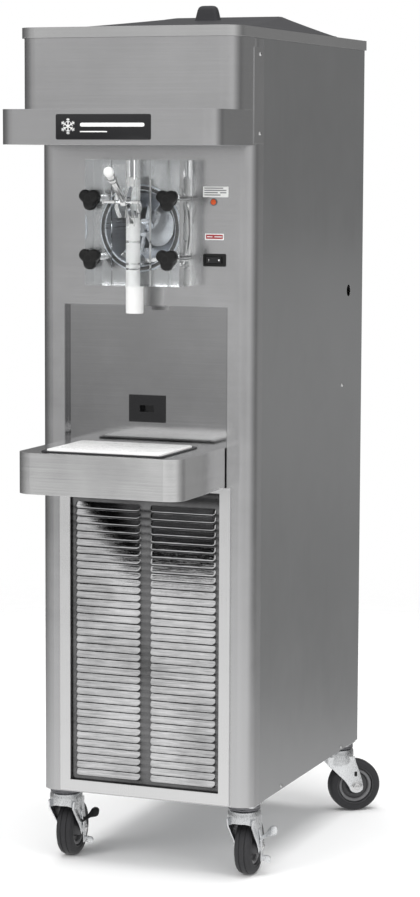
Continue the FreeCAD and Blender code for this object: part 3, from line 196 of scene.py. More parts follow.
dark_zinc = surface("dark_zinc", (0.16, 0.16, 0.17), 0.35, EVEN, 0.8, tone=0.2, worn=(0.5, 0.5, 0.5))
coil = surface("coil", (0.6, 0.6, 0.6), 0.4, (900, 3, 3), 1.0, tone=0.5, bump=0.6)
copper = surface("copper", (0.75, 0.38, 0.25), 0.3, (200, 200, 20), 1.0, tone=0.15)
motor_paint = surface("motor_paint", (0.02, 0.02, 0.022), 0.4, (500, 500, 500), worn=(0.12, 0.12, 0.12))
black = surface("black", (0.012, 0.012, 0.012), 0.36, (1500, 1500, 1500), bump=0.25, worn=(0.05, 0.05, 0.05),
                Specular_IOR_Level=0.22)
gloss_black = surface("gloss_black", (0.012, 0.012, 0.013), 0.16, (600, 600, 600), bump=0.03,
                      worn=(0.05, 0.05, 0.05))
cover_black = surface("cover_black", (0.03, 0.03, 0.032), 0.4, (1200, 1200, 1200), bump=0.2,
                      worn=(0.12, 0.12, 0.12), Specular_IOR_Level=0.12)
pan_black = surface("pan_black", (0.02, 0.02, 0.022), 0.3, (1100, 1100, 1100), bump=0.12,
                    worn=(0.08, 0.08, 0.08))
plate_black = surface("plate_black", (0.008, 0.008, 0.009), 0.2, (300, 300, 300), bump=0.03,
                      worn=(0.2, 0.2, 0.2))
white = surface("white", (0.8, 0.8, 0.795), 0.28, (700, 700, 700), tone=0.02, bump=0.05,
                Subsurface_Weight=0.15, Subsurface_Radius=(0.004, 0.004, 0.004))
ring_white = surface("ring_white", (0.62, 0.62, 0.61), 0.4, (600, 600, 600), tone=0.05)
print_white = surface("print_white", (0.8, 0.8, 0.79), 0.45, EVEN, tone=0.04)
print_grey = surface("print_grey", (0.16, 0.16, 0.17), 0.5, EVEN, tone=0.1)
print_red = surface("print_red", (0.33, 0.03, 0.035), 0.4, EVEN, tone=0.06)
amber = surface("amber", (0.6, 0.09, 0.02), 0.16, (500, 500, 500), tone=0.08,
                Subsurface_Weight=0.4, Subsurface_Radius=(0.004, 0.002, 0.001))
seal = surface("seal", (0.02, 0.02, 0.02), 0.5, EVEN, bump=0.2)
tyre = surface("tyre", (0.03, 0.03, 0.032), 0.6, (700, 700, 700), tone=0.3, bump=0.35,
               worn=(0.05, 0.05, 0.05), Specular_IOR_Level=0.3)
hub_grey = surface("hub_grey", (0.05, 0.05, 0.053), 0.38, (700, 700, 700), tone=0.15, worn=(0.14, 0.14, 0.14))
hub_rim = surface("hub_rim", (0.16, 0.16, 0.165), 0.3, (700, 700, 700), tone=0.1, worn=(0.3, 0.3, 0.3))
foam = surface("foam", (0.05, 0.05, 0.05), 0.8, (250, 250, 250), tone=0.3, bump=0.8)
# Painted shade: near-black standing in for the shade inside screw recesses and the holes in the caster forks.
hole_shade = surface("hole_shade", (0.006, 0.006, 0.006), 0.8, EVEN)


def clear_acrylic():
    """Glass-like plastic with faint scratches; it casts only a light shadow."""
    made = surface("clear_acrylic", (0.97, 0.985, 0.99), 0.03, (160, 160, 160), tone=0.01, bump=0.02,
                   smudge=0.02, edge=1.2, Transmission_Weight=1.0, IOR=1.49)
    tree = made.node_tree
    thin = add(tree, "ShaderNodeBsdfTransparent", None, Color=(0.93, 0.95, 0.95, 1))
    path = add(tree, "ShaderNodeLightPath")
    both = mix_shaders(tree, path.outputs["Is Shadow Ray"], tree.nodes["Principled BSDF"].outputs[0],
                       thin.outputs[0])
    plug(tree, tree.nodes["Material Output"].inputs["Surface"], both)
    return made


acrylic = clear_acrylic()


# ---------------------------------------------------------------- mesh code
def rounded(width, height, radius, steps=6):
    """Outline of a rounded rectangle, drawn in by an inset."""
    def outline(inset):
        w, h = width / 2 - inset, height / 2 - inset
        r = max(min(radius, width / 2, height / 2) - inset, 0.05)
        return [(sx * (w - r) + r * math.cos(math.radians(start + 90 * i / steps)),
                 sy * (h - r) + r * math.sin(math.radians(start + 90 * i / steps)))
                for sx, sy, start in ((1, 1, 0), (-1, 1, 90), (-1, -1, 180), (1, -1, 270))
                for i in range(steps + 1)]
    return outline


def soft(low, high, radius, both=True, steps=3):
    """Levels of a slab from low to high, rounded at both edges or only at the high one: (height, inset)."""
    turn = [math.pi / 2 * i / steps for i in range(steps + 1)]
    start = [(low + radius * (1 - math.cos(a)), radius * (1 - math.sin(a))) for a in turn]
    end = [(high - radius * (1 - math.cos(a)), radius * (1 - math.sin(a))) for a in reversed(turn)]
    return (start if both else [(low, 0)]) + end


def circle(count):
    """Evenly spaced angles of a full turn."""
    return [2 * math.pi * i / count for i in range(count)]


def spokes(axis, one, steps):
    """Directions round an axis, from one that is square to it."""
    two = axis.cross(one)
    return [one * math.cos(a) + two * math.sin(a) for a in circle(steps)]


class Shape:
    """Mesh gathered in millimetres and placed by a matrix."""

    def __init__(self, place=HOME):
        self.place, self.points, self.faces, self.tints = place, [], [], []

    def face(self, tint, *corners):
        self.faces.append(corners)
        self.tints.append(tint)

    def rings(self, rings, tint=0, caps=(True, True), loop=False, closed=True):
        """Skin over a row of point rings with one count."""
        base, count, rows = len(self.points), len(rings[0]), len(rings)
        self.points += [Vector(point) for ring in rings for point in ring]
        for i in range(rows if loop else rows - 1):
            for j in range(count if closed else count - 1):
                a, b = base + i * count + j, base + i * count + (j + 1) % count
                shift = ((i + 1) % rows - i) * count
                self.face(tint, a, b, b + shift, a + shift)
        if caps[0]:
            self.face(tint, *(base + j for j in reversed(range(count))))
        if caps[1]:
            self.face(tint, *(base + (rows - 1) * count + j for j in range(count)))
        return self

    def lathe(self, profile, origin, axis, tint=0, steps=40, caps=(True, True), loop=False):
        """Turn (along, radius) points about an axis."""
        axis = Vector(axis).normalized()
        one = (axis.cross(Vector((0, 0, 1))) if abs(axis.z) < 0.9 else Vector((1, 0, 0))).normalized()
        rings = [[Vector(origin) + axis * along + spoke * max(radius, 0.02)
                  for spoke in spokes(axis, one, steps)] for along, radius in profile]
        return self.rings(rings, tint, caps, loop)

    def stack(self, outline, levels, spot, facing="front", tint=0, turn=0.0):
        """Slab built from an outline at several heights; it faces front, up, right or left."""
        x, y, z = spot
        c, s = math.cos(math.radians(turn)), math.sin(math.radians(turn))
        put = {"front": lambda u, v, h: (x + u, y - h, z + v),
               "up": lambda u, v, h: (x + u, y + v, z + h),
               "right": lambda u, v, h: (x + h, y + u, z + v),
               "left": lambda u, v, h: (x - h, y + u, z + v)}[facing]
        return self.rings([[put(u * c - v * s, u * s + v * c, h) for u, v in outline(inset)]
                           for h, inset in levels], tint)

    def tube(self, path, radius, tint=0, steps=12, loop=False):
        """Round tube along points."""
        path = [Vector(p) for p in path]
        rings, count = [], len(path)
        for i, point in enumerate(path):
            before = path[i - 1] if i or loop else point
            after = path[(i + 1) % count] if i < count - 1 or loop else point
            axis = (after - before).normalized()
            one = axis.cross(Vector((1, 0.2, 0.1))).normalized()
            rings.append([point + spoke * radius for spoke in spokes(axis, one, steps)])
        return self.rings(rings, tint, (not loop, not loop), loop)

    def done(self, name, paints, body, slot, *replaced, angle=35, solid=0.0, outward=True):
        """Make the piece, shade it, and fasten it to its body."""
        mesh = bpy.data.meshes.new(name)
        mesh.from_pydata([self.place @ p for p in self.points], [], self.faces)
        if outward:
            work = bmesh.new()
            work.from_mesh(mesh)
            bmesh.ops.recalc_face_normals(work, faces=work.faces)
            work.to_mesh(mesh)
            work.free()
        for paint in paints:
            mesh.materials.append(paint)
        mesh.polygons.foreach_set("material_index", self.tints)
        mesh.shade_smooth()
        mesh.set_sharp_from_angle(angle=math.radians(angle))
        piece = bpy.data.objects.new(name, mesh)
        bpy.context.scene.collection.objects.link(piece)
        if solid:
            skin = piece.modifiers.new("skin", "SOLIDIFY")
            skin.thickness, skin.offset = solid * MM, -1
        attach(piece, body)
        if replaced:
            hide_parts(*replaced)
        return piece


# ---------------------------------------------------------------- cabinet
def louvres():
    """Grille sheet with real slots, and a hood with rounded ends over each."""
    rows, pitch, low, bulge, face = 37, 13.5, 170, 4.9, 4
    sheet_low, sheet_high, slot = 152, 698, (0.6, 5.4)
    sheet = Shape()
    across = [-153, -134, -10, 10, 134, 153]
    levels = [sheet_low] + [low + pitch * row + part for row in range(rows) for part in slot] + [sheet_high]
    for z in levels:
        sheet.points += [Vector((x, face, z)) for x in across]
    for i in range(len(levels) - 1):
        for j in range(len(across) - 1):
            if not (i % 2 and j in (1, 3)):
                a = i * len(across) + j
                sheet.face(0, a + len(across), a, a + 1, a + 1 + len(across))
    sheet.done("grille_sheet", [speckled_steel], "cabinet", "cabinet_steel", solid=1.5, outward=False)
    hoods = Shape()
    long, tall, end, inner_end, outer_end = 126, 12, 7, 9, 135
    across_steps, down_steps, lip, lift = 22, 10, 0.93, 0.02
    for side in (-1, 1):
        for row in range(rows):
            top = low + pitch * row + tall + 0.4
            rings = []
            for i in range(across_steps + 1):
                share = 0.5 - 0.5 * math.cos(math.pi * i / across_steps)
                u = share * long
                t = min(min(u, long - u) / end, 1.0)
                swell = math.sqrt(max(1 - (1 - t) ** 2, 0))
                x = inner_end + u if side > 0 else u - outer_end
                ring = []
                for j in range(down_steps + 1):
                    v = j / down_steps
                    reach = swell * min(v / lip, 1.0)
                    ring.append((x, face - bulge * reach - lift,
                                 top - tall * (0.5 - 0.5 * swell) - tall * swell * v))
                rings.append(ring)
            hoods.rings(rings, 0, (False, False), closed=False)
    hoods.done("grille_hoods", [grille_steel], "cabinet", "cabinet_steel", "louvre_panel", solid=1.0,
               outward=False, angle=60)


def name_plate():
    """Black plate with a plain six-armed snowflake and two plain bars."""
    low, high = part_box("name_plate")
    x, z = (low.x + high.x) / 2 / MM, (low.z + high.z) / 2 / MM
    y = (high.y - FRONT) / MM
    wide, tall = (high.x - low.x) / MM, (high.z - low.z) / MM
    Shape().stack(rounded(wide, tall, 3), soft(0, 1.4, 0.5, False), (x, y, z)).done(
        "name_plate_face", [plate_black], "cabinet", "plate_finish", "name_plate")
    marks = Shape()
    centre = (x - 64, z + 1)

    def bar(middle, length, width, turn):
        marks.stack(rounded(length, width, width / 2, 3), soft(1.35, 1.62, 0.08, False),
                    (centre[0] + middle[0], y, centre[1] + middle[1]), turn=turn)
    for arm in range(6):
        angle = 60 * arm + 30
        c, s = math.cos(math.radians(angle)), math.sin(math.radians(angle))
        bar((7 * c, 7 * s), 13.4, 1.7, angle)
        for reach, twig in ((6, 4.2), (10, 3.6)):
            for lean in (-55, 55):
                t = math.radians(angle + lean)
                bar((reach * c + twig / 2 * math.cos(t), reach * s + twig / 2 * math.sin(t)), twig, 1.3,
                    angle + lean)
    for start, end, height, thick in ((-42, 76, 3.5, 6.5), (-42, 8, -8, 2)):
        marks.stack(rounded(end - start, thick, thick / 2, 5), soft(1.35, 1.6, 0.08, False),
                    (x + (start + end) / 2, y, z + height))
    marks.done("name_plate_marks", [print_white], "cabinet", "white_plastic")


def labels():
    """Two small stickers with plain bars in place of words."""
    x, z = 132, 1219.5
    paper = Shape().stack(rounded(47, 18.5, 1), [(0, 0), (0.25, 0)], (x, 0, z))
    for start, end, up in ((-21, 14, 6.4), (-21, 20, 2.6), (-21, 4, -1.4), (-21, 9, -5.4), (8, 20, -1.4)):
        paper.stack(rounded(end - start, 1.7, 0.5, 2), [(0.24, 0), (0.34, 0)],
                    (x + (start + end) / 2, 0, z + up), tint=1)
    paper.done("notice_label", [print_white, print_grey], "cabinet", "white_plastic")
    x, z = 130, 1142.2
    paper = Shape().stack(rounded(35, 11, 0.8), [(0, 0), (0.25, 0)], (x, 0, z))
    paper.stack(rounded(31, 7.4, 0.5), [(0.24, 0), (0.32, 0)], (x, 0, z), tint=1)
    for along, wide in ((-8.5, 10), (7, 14)):
        paper.stack(rounded(wide, 1.8, 0.5, 2), [(0.31, 0), (0.4, 0)], (x + along, 0, z))
    paper.done("red_label", [print_white, print_red], "cabinet", "white_plastic")


def controls():
    """Amber light in its ring, and the switch with its marks."""
    x, z = 128.5, 1202
    lamp = Shape().lathe([(0, 6.5), (1.2, 6.5), (2.2, 5.9), (2.3, 5.2), (1.8, 5.0)], (x, 0, z), (0, -1, 0),
                         tint=1, caps=(True, False))
    lamp.lathe([(1.5, 5.0), (2.4, 4.9), (3.3, 4.2), (3.8, 2.8), (4.0, 1.2), (4.0, 0)], (x, 0, z), (0, -1, 0))
    lamp.done("pilot_light", [amber, dark_zinc], "cabinet", "amber_lens", "indicator_light")
    x, z = 130.5, 1102
    outer, inner = rounded(42, 22, 2.5), rounded(32, 12, 1)
    frame_levels = [(0, 0), (1.9, 0), (2.3, 0.25), (2.5, 0.8)]
    bezel = Shape()
    rings = [[(x + u, -h, z + v) for u, v in outer(inset)] for h, inset in frame_levels]
    rings += [[(x + u, -h, z + v) for u, v in inner(0)] for h in (2.5, 0.5, -10)]
    bezel.rings(rings)
    bezel.done("switch_surround", [black], "cabinet", "black_plastic", "switch_bezel")
    rocker = Shape()
    half = 13.4
    profile = [(-half, -5.4), (-half * 0.5, -3.6), (0, -2.1), (half * 0.5, -2.0), (half, -2.7), (9, 6),
               (-9, 6)]
    rocker.rings([[(x + u * k, v, z + w) for u, v in profile]
                  for w, k in ((-5.3, 0.985), (-4.9, 1), (4.9, 1), (5.3, 0.985))])
    for u, wide, tall in ((-9.5, 1.2, 4.5), (9.2, 3.4, 3.4)):
        y = -4.1 if u < 0 else -2.1
        rocker.stack(rounded(wide, tall, 0.6 if u < 0 else 1.7, 4), [(-1.0, 0), (0.25, 0)], (x + u, y, z),
                     tint=1)
    rocker.done("switch_rocker", [gloss_black, print_white], "power_rocker", "black_plastic", "power_rocker")


def screws():
    """Truss heads with a cross recess, which is a thin near-black cross of painted shade."""
    heads = Shape()
    for side in (-1, 1):
        for y, z, proud in ((22, 1455, 1.2), (22, 1320, 1.2), (483, 849, 0), (157, 145, 0), (499, 144, 0)):
            face = side * (203 + proud)
            heads.lathe([(0, 3.6), (0.5, 3.6), (1.3, 3.2), (1.9, 2.3), (2.2, 1.0), (2.2, 0)], (face, y, z),
                        (side, 0, 0), steps=24)
            # The cross recess is a thin near-black cross laid on the head: painted shade.
            for turn in (20, 110):
                heads.stack(rounded(3.6, 0.8, 0.3, 2), [(1.9, 0), (2.24, 0)], (face, y, z),
                            "right" if side > 0 else "left", tint=1, turn=turn)
    heads.done("screw_heads", [screw_steel, hole_shade], "cabinet", "screw_steel", "panel_screws")


def hopper_cover():
    """Moulded lid with soft hips, and its grip."""
    lid = Shape()
    levels = [(1500.4, 360, 475, 282.5, 20), (1503.5, 360, 475, 282.5, 20), (1505, 357, 472, 282.5, 20),
              (1505.6, 350, 464, 283, 19), (1512, 320, 366, 309, 18), (1520, 285, 250, 339, 16),
              (1528, 252, 136, 367, 14), (1533, 232, 66, 384, 12), (1535.8, 221, 34, 392, 10),
              (1537.2, 214, 18, 396.5, 7), (1537.9, 205, 9, 399, 4)]
    inner = [(1536, 200, 8, 399, 4), (1502.5, 350, 464, 283, 17), (1500.4, 352, 467, 282.5, 17)]
    rings = [[(u, y + v, z) for u, v in rounded(wide, deep, r)(0)] for z, wide, deep, y, r in inner + levels]
    lid.rings(rings)
    lid.done("cover_lid", [cover_black], "hopper_cover", "cover_plastic", "hopper_cover")
    grip = Shape()
    levels = [(1521, 52, 30, 5), (1523, 49, 27, 6), (1528, 45.5, 25, 7), (1538, 41.5, 22.5, 7),
              (1546, 38.5, 20.5, 8), (1550, 35.5, 18.5, 8), (1552.4, 30.5, 15, 7), (1553.6, 24.5, 11, 5),
              (1553.9, 18, 8, 4)]
    grip.rings([[(u, COVER_GRIP_Y + v, z) for u, v in rounded(wide, deep, r)(0)]
                for z, wide, deep, r in levels])
    grip.done("cover_grip", [cover_black], "hopper_cover", "cover_plastic", "cover_knob", angle=50)


# ---------------------------------------------------------------- door and draw valve
def draw_parts():
    """Lever, ferrule and ball, pin and ring, plunger, spout and seals."""
    pivot = Vector((0, -92, 1202))
    slope = math.radians(37.7)
    forward = Vector((0, -math.cos(slope), math.sin(slope)))
    lever = Shape()
    lever.lathe([(-54.4, 0.5), (-53.6, 2.4), (-51.8, 3.9), (-50, 4.5), (-48, 4.1), (-46, 3.5), (-9, 3.5),
                 (-6, 5.4), (-3, 6), (56, 6), (60, 5.9), (60, 5)], pivot, forward, steps=32)
    lever.lathe([(-5, 3.2), (-5, 7.4), (-4.4, 8), (4.4, 8), (5, 7.4), (5, 3.2)], pivot, (1, 0, 0), loop=True,
                caps=(False, False), steps=32)
    lever.done("lever_rod", [polished], "draw_lever", "polished_steel", "draw_lever")
    knob = Shape()
    knob.lathe([(59, 6.1), (59, 7.4), (60, 8), (66, 8), (67, 7.5), (68, 8), (77, 7.7), (79, 7.2), (79, 6.1)],
               pivot, forward, tint=1, loop=True, caps=(False, False), steps=32)
    ball = [(84 - 9 * math.cos(a), 9 * math.sin(a)) for a in (math.radians(t) for t in range(40, 180, 10))]
    knob.lathe([(76.5, 4)] + ball + [(93, 0)], pivot, forward, steps=32)
    knob.done("lever_grip", [white, ferrule], "draw_lever", "white_plastic", "lever_ball")
    pin = Shape()
    pin.lathe([(-40, 2.5), (-39.6, 4.2), (-37.6, 4.4), (-37.2, 3), (28.5, 3), (30, 2.2)], pivot, (1, 0, 0),
              steps=24)
    middle = pivot + Vector((28, 0, -9))
    pin.tube([middle + Vector((0, 8 * math.cos(a), 10 * math.sin(a))) for a in circle(28)], 0.95, loop=True)
    pin.done("pivot_pin", [polished], "cabinet", "polished_steel", "lever_pin")
    tip, wide, bore_y = pivot.z - 50 * math.sin(slope), 13.05, VALVE[1]
    rod = Shape()
    rod.lathe([(1086.2, 9), (1086.8, 12), (1088, wide), (1093, wide), (1093.4, 12), (1096.6, 12),
               (1097, wide), (1131, wide), (1131.4, 12), (1134.6, 12), (1135, wide), (tip - 7, wide)], VALVE,
              (0, 0, 1), steps=48)
    for side in (-1, 1):
        cheek = [(side * max(5.9, wide * math.cos(a)), wide * math.sin(a)) for a in
                 [math.radians(-63 + 15.75 * n) for n in range(9)]]
        rod.rings([[(u, bore_y + v, z) for u, v in cheek] for z in (tip - 7.2, tip + 15.2)])
    rod.lathe([(tip + 15, wide), (1240, wide), (1243, 12.2), (1244.5, 10.5), (1245, 8)], VALVE, (0, 0, 1),
              steps=48)
    rod.done("plunger_rod", [white], "plunger", "white_plastic", "plunger")
    rings = Shape()
    seal_reach, seal_thick = 11.4, 1.6
    for z in (1095, 1133):
        rings.tube([(seal_reach * math.cos(a), bore_y + seal_reach * math.sin(a), z) for a in circle(40)],
                   seal_thick, loop=True)
    rings.done("plunger_seals", [ring_white], "plunger", "seal_rubber")
    spout = Shape()
    spout.lathe([(1085, 11.5), (1085, 12.6), (1084.4, wide), (1058, wide), (1056.8, 13.4), (1056.8, 15.9),
                 (1054, 15.9), (1053, 15.4), (1010.6, 15.4), (1009.4, 14.8), (1009, 13.9), (1009, 11.9),
                 (1009.4, 11.5)], VALVE, (0, 0, 1), loop=True, caps=(False, False), steps=48)
    spout.done("spout", [white], "cabinet", "white_plastic", "spout_extension")


def knobs():
    """Soft three-lobed nuts with a waisted neck and a dished face."""
    def outline(inset):
        line = []
        for a in circle(72):
            lobe = 3 * (a + math.pi / 2)
            reach = 17.4 + 3.3 * math.cos(lobe) - 0.5 * math.cos(2 * lobe) - inset
            line.append((reach * math.cos(a), reach * math.sin(a)))
        return line
    for across, x in (("left", -72), ("right", 72)):
        for height, z in (("lower", 1105), ("upper", 1207)):
            body = f"door_knob_{height}_{across}"
            knob, root = Shape(), (x, -58.5, z)
            knob.lathe([(0, 4.8), (0, 12.2), (0.8, 13), (6, 11.8), (9.6, 12.6)], root, (0, -1, 0))
            knob.stack(outline, [(8, 4.5), (8.6, 2.2), (10.2, 0.6), (12.5, 0), (19, 0), (21.6, 0.7),
                                 (23.8, 2.4), (25.2, 5), (25.7, 8)], root)
            knob.lathe([(25.0, 7), (25.8, 6.6), (25.8, 5.6), (24.8, 5), (24.8, 0)], root, (0, -1, 0),
                       caps=(False, True))
            knob.done(body + "_grip", [black], body, "black_plastic", body, angle=40)


def dasher():
    """Two helical ribbons with scraper edges on arms round the shaft, and a broad front blade."""
    blades = Shape()
    start, long, turns, phase, steps, level = 10, 372, 1.6, 0.9, 96, CYLINDER[2]
    for side in (0, math.pi):
        ribbon, edge = [], []
        for i in range(steps + 1):
            y = start + long * i / steps
            a = side + phase + 2 * math.pi * turns * i / steps
            c, s = math.cos(a), math.sin(a)
            ribbon.append([(r * c, y + t, level + r * s) for r, t in ((36, -2), (56, -2), (56, 2), (36, 2))])
            edge.append([(r * c, y + t, level + r * s) for r, t in ((54, -4), (61, -5), (62, 3), (54, 4))])
        blades.rings(ribbon)
        blades.rings(edge, tint=1)
    for y in (20, 190, 360):
        blades.lathe([(y, 9.1), (y, 15), (y + 1, 16), (y + 15, 16), (y + 16, 15), (y + 16, 9.1)], CYLINDER,
                     (0, 1, 0), loop=True, caps=(False, False))
        a = phase + 2 * math.pi * turns * (y + 8 - start) / long
        for turn in (a, a + math.pi):
            out = Vector((math.cos(turn), 0, math.sin(turn)))
            blades.tube([Vector((0, y + 8, level)) + out * r for r in (15, 30, 40)], 4.5)
    blade, half_steps = [], 12
    for i in range(2 * half_steps + 1):
        a, y = math.radians(-62 + 5.6 * i), 12 + 0.9 * i
        swell = 1 - (abs(i - half_steps) / half_steps) ** 3 * 0.55
        c, s = math.cos(a), math.sin(a)
        root, middle, tip = 13, 13 + 20 * swell, 13 + 41 * swell
        blade.append([(r * c, y + t, level + r * s) for r, t in
                      ((root, 1.5), (root, -1.5), (middle, -2.5), (tip, -1), (tip, 1.5), (middle, 1))])
    blades.rings(blade, tint=2)
    blades.done("dasher", [lit_inner_steel, polished, shaded_blade_steel], "auger", "inner_stainless", "auger_blades")


# ---------------------------------------------------------------- drip pan
def drip_parts():
    """Pan with a rolled rim, and the white slab with its soft edge."""
    pan = Shape()

    def outline(wide, deep, r, z):
        return [(u, PAN_Y + v, z) for u, v in rounded(wide, deep, r)(0)]
    pan.rings([outline(226, 168, 9, 777.3), outline(226, 168, 9, 778.6), outline(224.8, 166.8, 8.5, 779.3),
               outline(223, 165, 8, 779.6), outline(216, 158, 7, 779.4), outline(214, 156, 6, 778.6),
               outline(214, 156, 6, 769.9), outline(206, 148, 5, 769.8), outline(205, 147, 8, 747),
               outline(200, 142, 8, 744.5), outline(203, 145, 9, 743.1), outline(216, 158, 8, 745),
               outline(217, 159, 8, 777.2)], caps=(False, False), loop=True)
    pan.rings([outline(200, 142, 8, 744.5), outline(203, 145, 9, 743.1)])
    pan.done("pan", [pan_black], "drip_pan", "pan_plastic", "drip_pan")
    Shape().stack(rounded(212, 154, 9, 8), soft(770.1, 782, 1.6), (0, PAN_Y, 0), "up").done(
        "slab", [white], "drip_insert", "white_plastic", "drip_insert")


# ---------------------------------------------------------------- casters
# name, x, y, and the swivel's turn in degrees
CASTERS = (("front_left", -174, 46, 4), ("front_right", 174, 46, 4),
           ("rear_left", -174, 569, 56), ("rear_right", 174, 569, -56))
TRAIL, AXLE = 32, 50.8  # the axle's distance behind the swivel, and its height


def casters():
    """Four swivel casters, the front two with a brake, and their fixing plates on the cabinet."""
    places = {name: HOME @ Matrix.Translation((x, y, 0)) @ Matrix.Rotation(math.radians(turn), 4, "Z")
              for name, x, y, turn in CASTERS}
    for name, place in places.items():
        caster_wheel(name, place)
        caster_fork(name, place)
    for name in ("front_left", "front_right"):
        caster_brake(name, places[name])
    plates = Shape()
    for _, x, y, _ in CASTERS:
        plates.stack(rounded(56, 56, 6), soft(134.6, 138, 0.6), (x, y, 0), "up")
        plates.lathe([(126.4, 6), (126.4, 27.5), (127.4, 28.8), (129, 28.9), (130, 28), (131, 28.6),
                      (133.4, 28.8), (134.6, 27.5), (134.6, 6)], (x, y, 0), (0, 0, 1), tint=1, loop=True,
                     caps=(False, False), steps=56)
        plates.lathe([(121.5, 5), (122, 6), (134.6, 6)], (x, y, 0), (0, 0, 1), steps=24)
        for u in (-21, 21):
            for v in (-21, 21):
                plates.lathe([(133.2, 4.2), (133.4, 4.6), (134.7, 4.6)], (x + u, y + v, 0), (0, 0, 1),
                             steps=6)
    plates.done("swivel_plates", [zinc, dark_zinc], "cabinet", "zinc", "caster_plates")


def caster_wheel(name, place):
    """Tyre with two shallow grooves, on a dished hub with a ridge and a bearing cap."""
    tread = [(-15, 37), (-15, 44), (-14.2, 47), (-12, 49.4), (-9, 50.5), (-6.2, 50.8), (-5.6, 49.6),
             (-4.6, 49.6), (-4, 50.8), (4, 50.8), (4.6, 49.6), (5.6, 49.6), (6.2, 50.8), (9, 50.5),
             (12, 49.4), (14.2, 47), (15, 44), (15, 37)]
    wheel, centre = Shape(place), (0, TRAIL, AXLE)
    wheel.lathe(tread, centre, (1, 0, 0), loop=True, caps=(False, False), steps=72)
    hub = [(13.4, 37), (14.2, 36.4), (14.2, 35), (12.6, 34.2), (9.5, 33.4), (8.6, 31), (8.4, 26), (6.4, 24.6),
           (6, 20), (6.4, 18), (9, 15.8), (18.4, 13.4), (19.1, 12.6), (19.1, 5.1)]
    wheel.lathe(hub + [(-u, v) for u, v in reversed(hub)], centre, (1, 0, 0), tint=1, loop=True,
                caps=(False, False), steps=72)
    ridge = ((8, 26.4), (10.6, 27.2), (11.6, 29.5), (11.4, 31.8), (9.4, 33), (8, 33))
    for side in (-1, 1):
        wheel.lathe([(side * u, v) for u, v in ridge], centre, (1, 0, 0), tint=2, loop=True,
                    caps=(False, False), steps=72)
    wheel.done("wheel_" + name, [tyre, hub_grey, hub_rim], "caster_wheel_" + name, "tyre",
               "caster_wheel_" + name)


def caster_fork(name, place):
    """Pressed fork: a domed crown with an arched skirt, two tapering legs with a near-black patch of painted
    shade on each for a hole, and the axle bolt.
    """
    fork = Shape(place)
    outer, inner = [], []
    for a in circle(72):
        x, y = math.sin(a), -math.cos(a)
        side = min(max((abs(x) - 0.3) / 0.65, 0), 1)
        low = (104 if y < 0 else 112) - (10 if y < 0 else 16) * side ** 1.6
        outer.append([(x * r, y * r, z) for r, z in ((7, 126), (22, 126), (26.5, 125.4), (28.8, 123.6),
                                                     (29.7, 120.8), (30, 116), (30, low))])
        inner.append([(x * r, y * r, z) for r, z in ((27.6, low), (27.4, 116), (26.6, 121), (24.5, 122.9),
                                                     (7, 123.2))])
    fork.rings([[*one, *two] for one, two in zip(outer, inner)], caps=(False, False), loop=True)
    front = [(112, -27), (98, -27), (80, -10), (62, 8.5), (50, 17), (44, 19.2), (40, 23.5), (38.3, 29)]
    back = [(112, 27), (98, 31.5), (80, 38.5), (62, 44), (50, 46), (44, 44.8), (40, 40.5), (38.3, 35)]
    for side in (-1, 1):
        rings = []
        for (z, one), (_, two) in zip(front, back):
            swell = min(max((z - 72) / 40, 0), 1) ** 2
            centre, wide = (one + two) / 2, two - one
            rings.append([(side * (21 + v + swell * (6.5 - 16 * (u / 56) ** 2)), centre + u, z)
                          for u, v in rounded(wide, 3, 1.3, 3)(0)])
        fork.rings(rings)
        fork.lathe([(22.4, 10.5), (23, 10.5), (23.6, 9.4), (23.6, 5)], (0, TRAIL, AXLE), (side, 0, 0),
                   steps=32, tint=1)
        fork.lathe([(23.5, 7.6), (26.8, 7.6), (27.4, 6.8), (27.4, 0)], (0, TRAIL, AXLE), (side, 0, 0),
                   steps=6, tint=1)
        fork.lathe([(27.2, 3.6), (28.6, 3.4), (28.9, 2.8), (28.9, 0)], (0, TRAIL, AXLE), (side, 0, 0),
                   steps=20, tint=1)
        # A near-black patch on each leg is painted shade standing in for a hole.
        fork.stack(rounded(5.5, 9.5, 0.8, 3), [(22.2, 0), (22.7, 0)], (0, 30, 76),
                   "right" if side > 0 else "left", tint=2)
    fork.lathe([(-20, 4.9), (20, 4.9)], (0, TRAIL, AXLE), (1, 0, 0), tint=1, steps=24)
    fork.done("fork_" + name, [zinc, screw_steel, hole_shade], "caster_fork_" + name, "zinc",
              "caster_fork_" + name, angle=30)


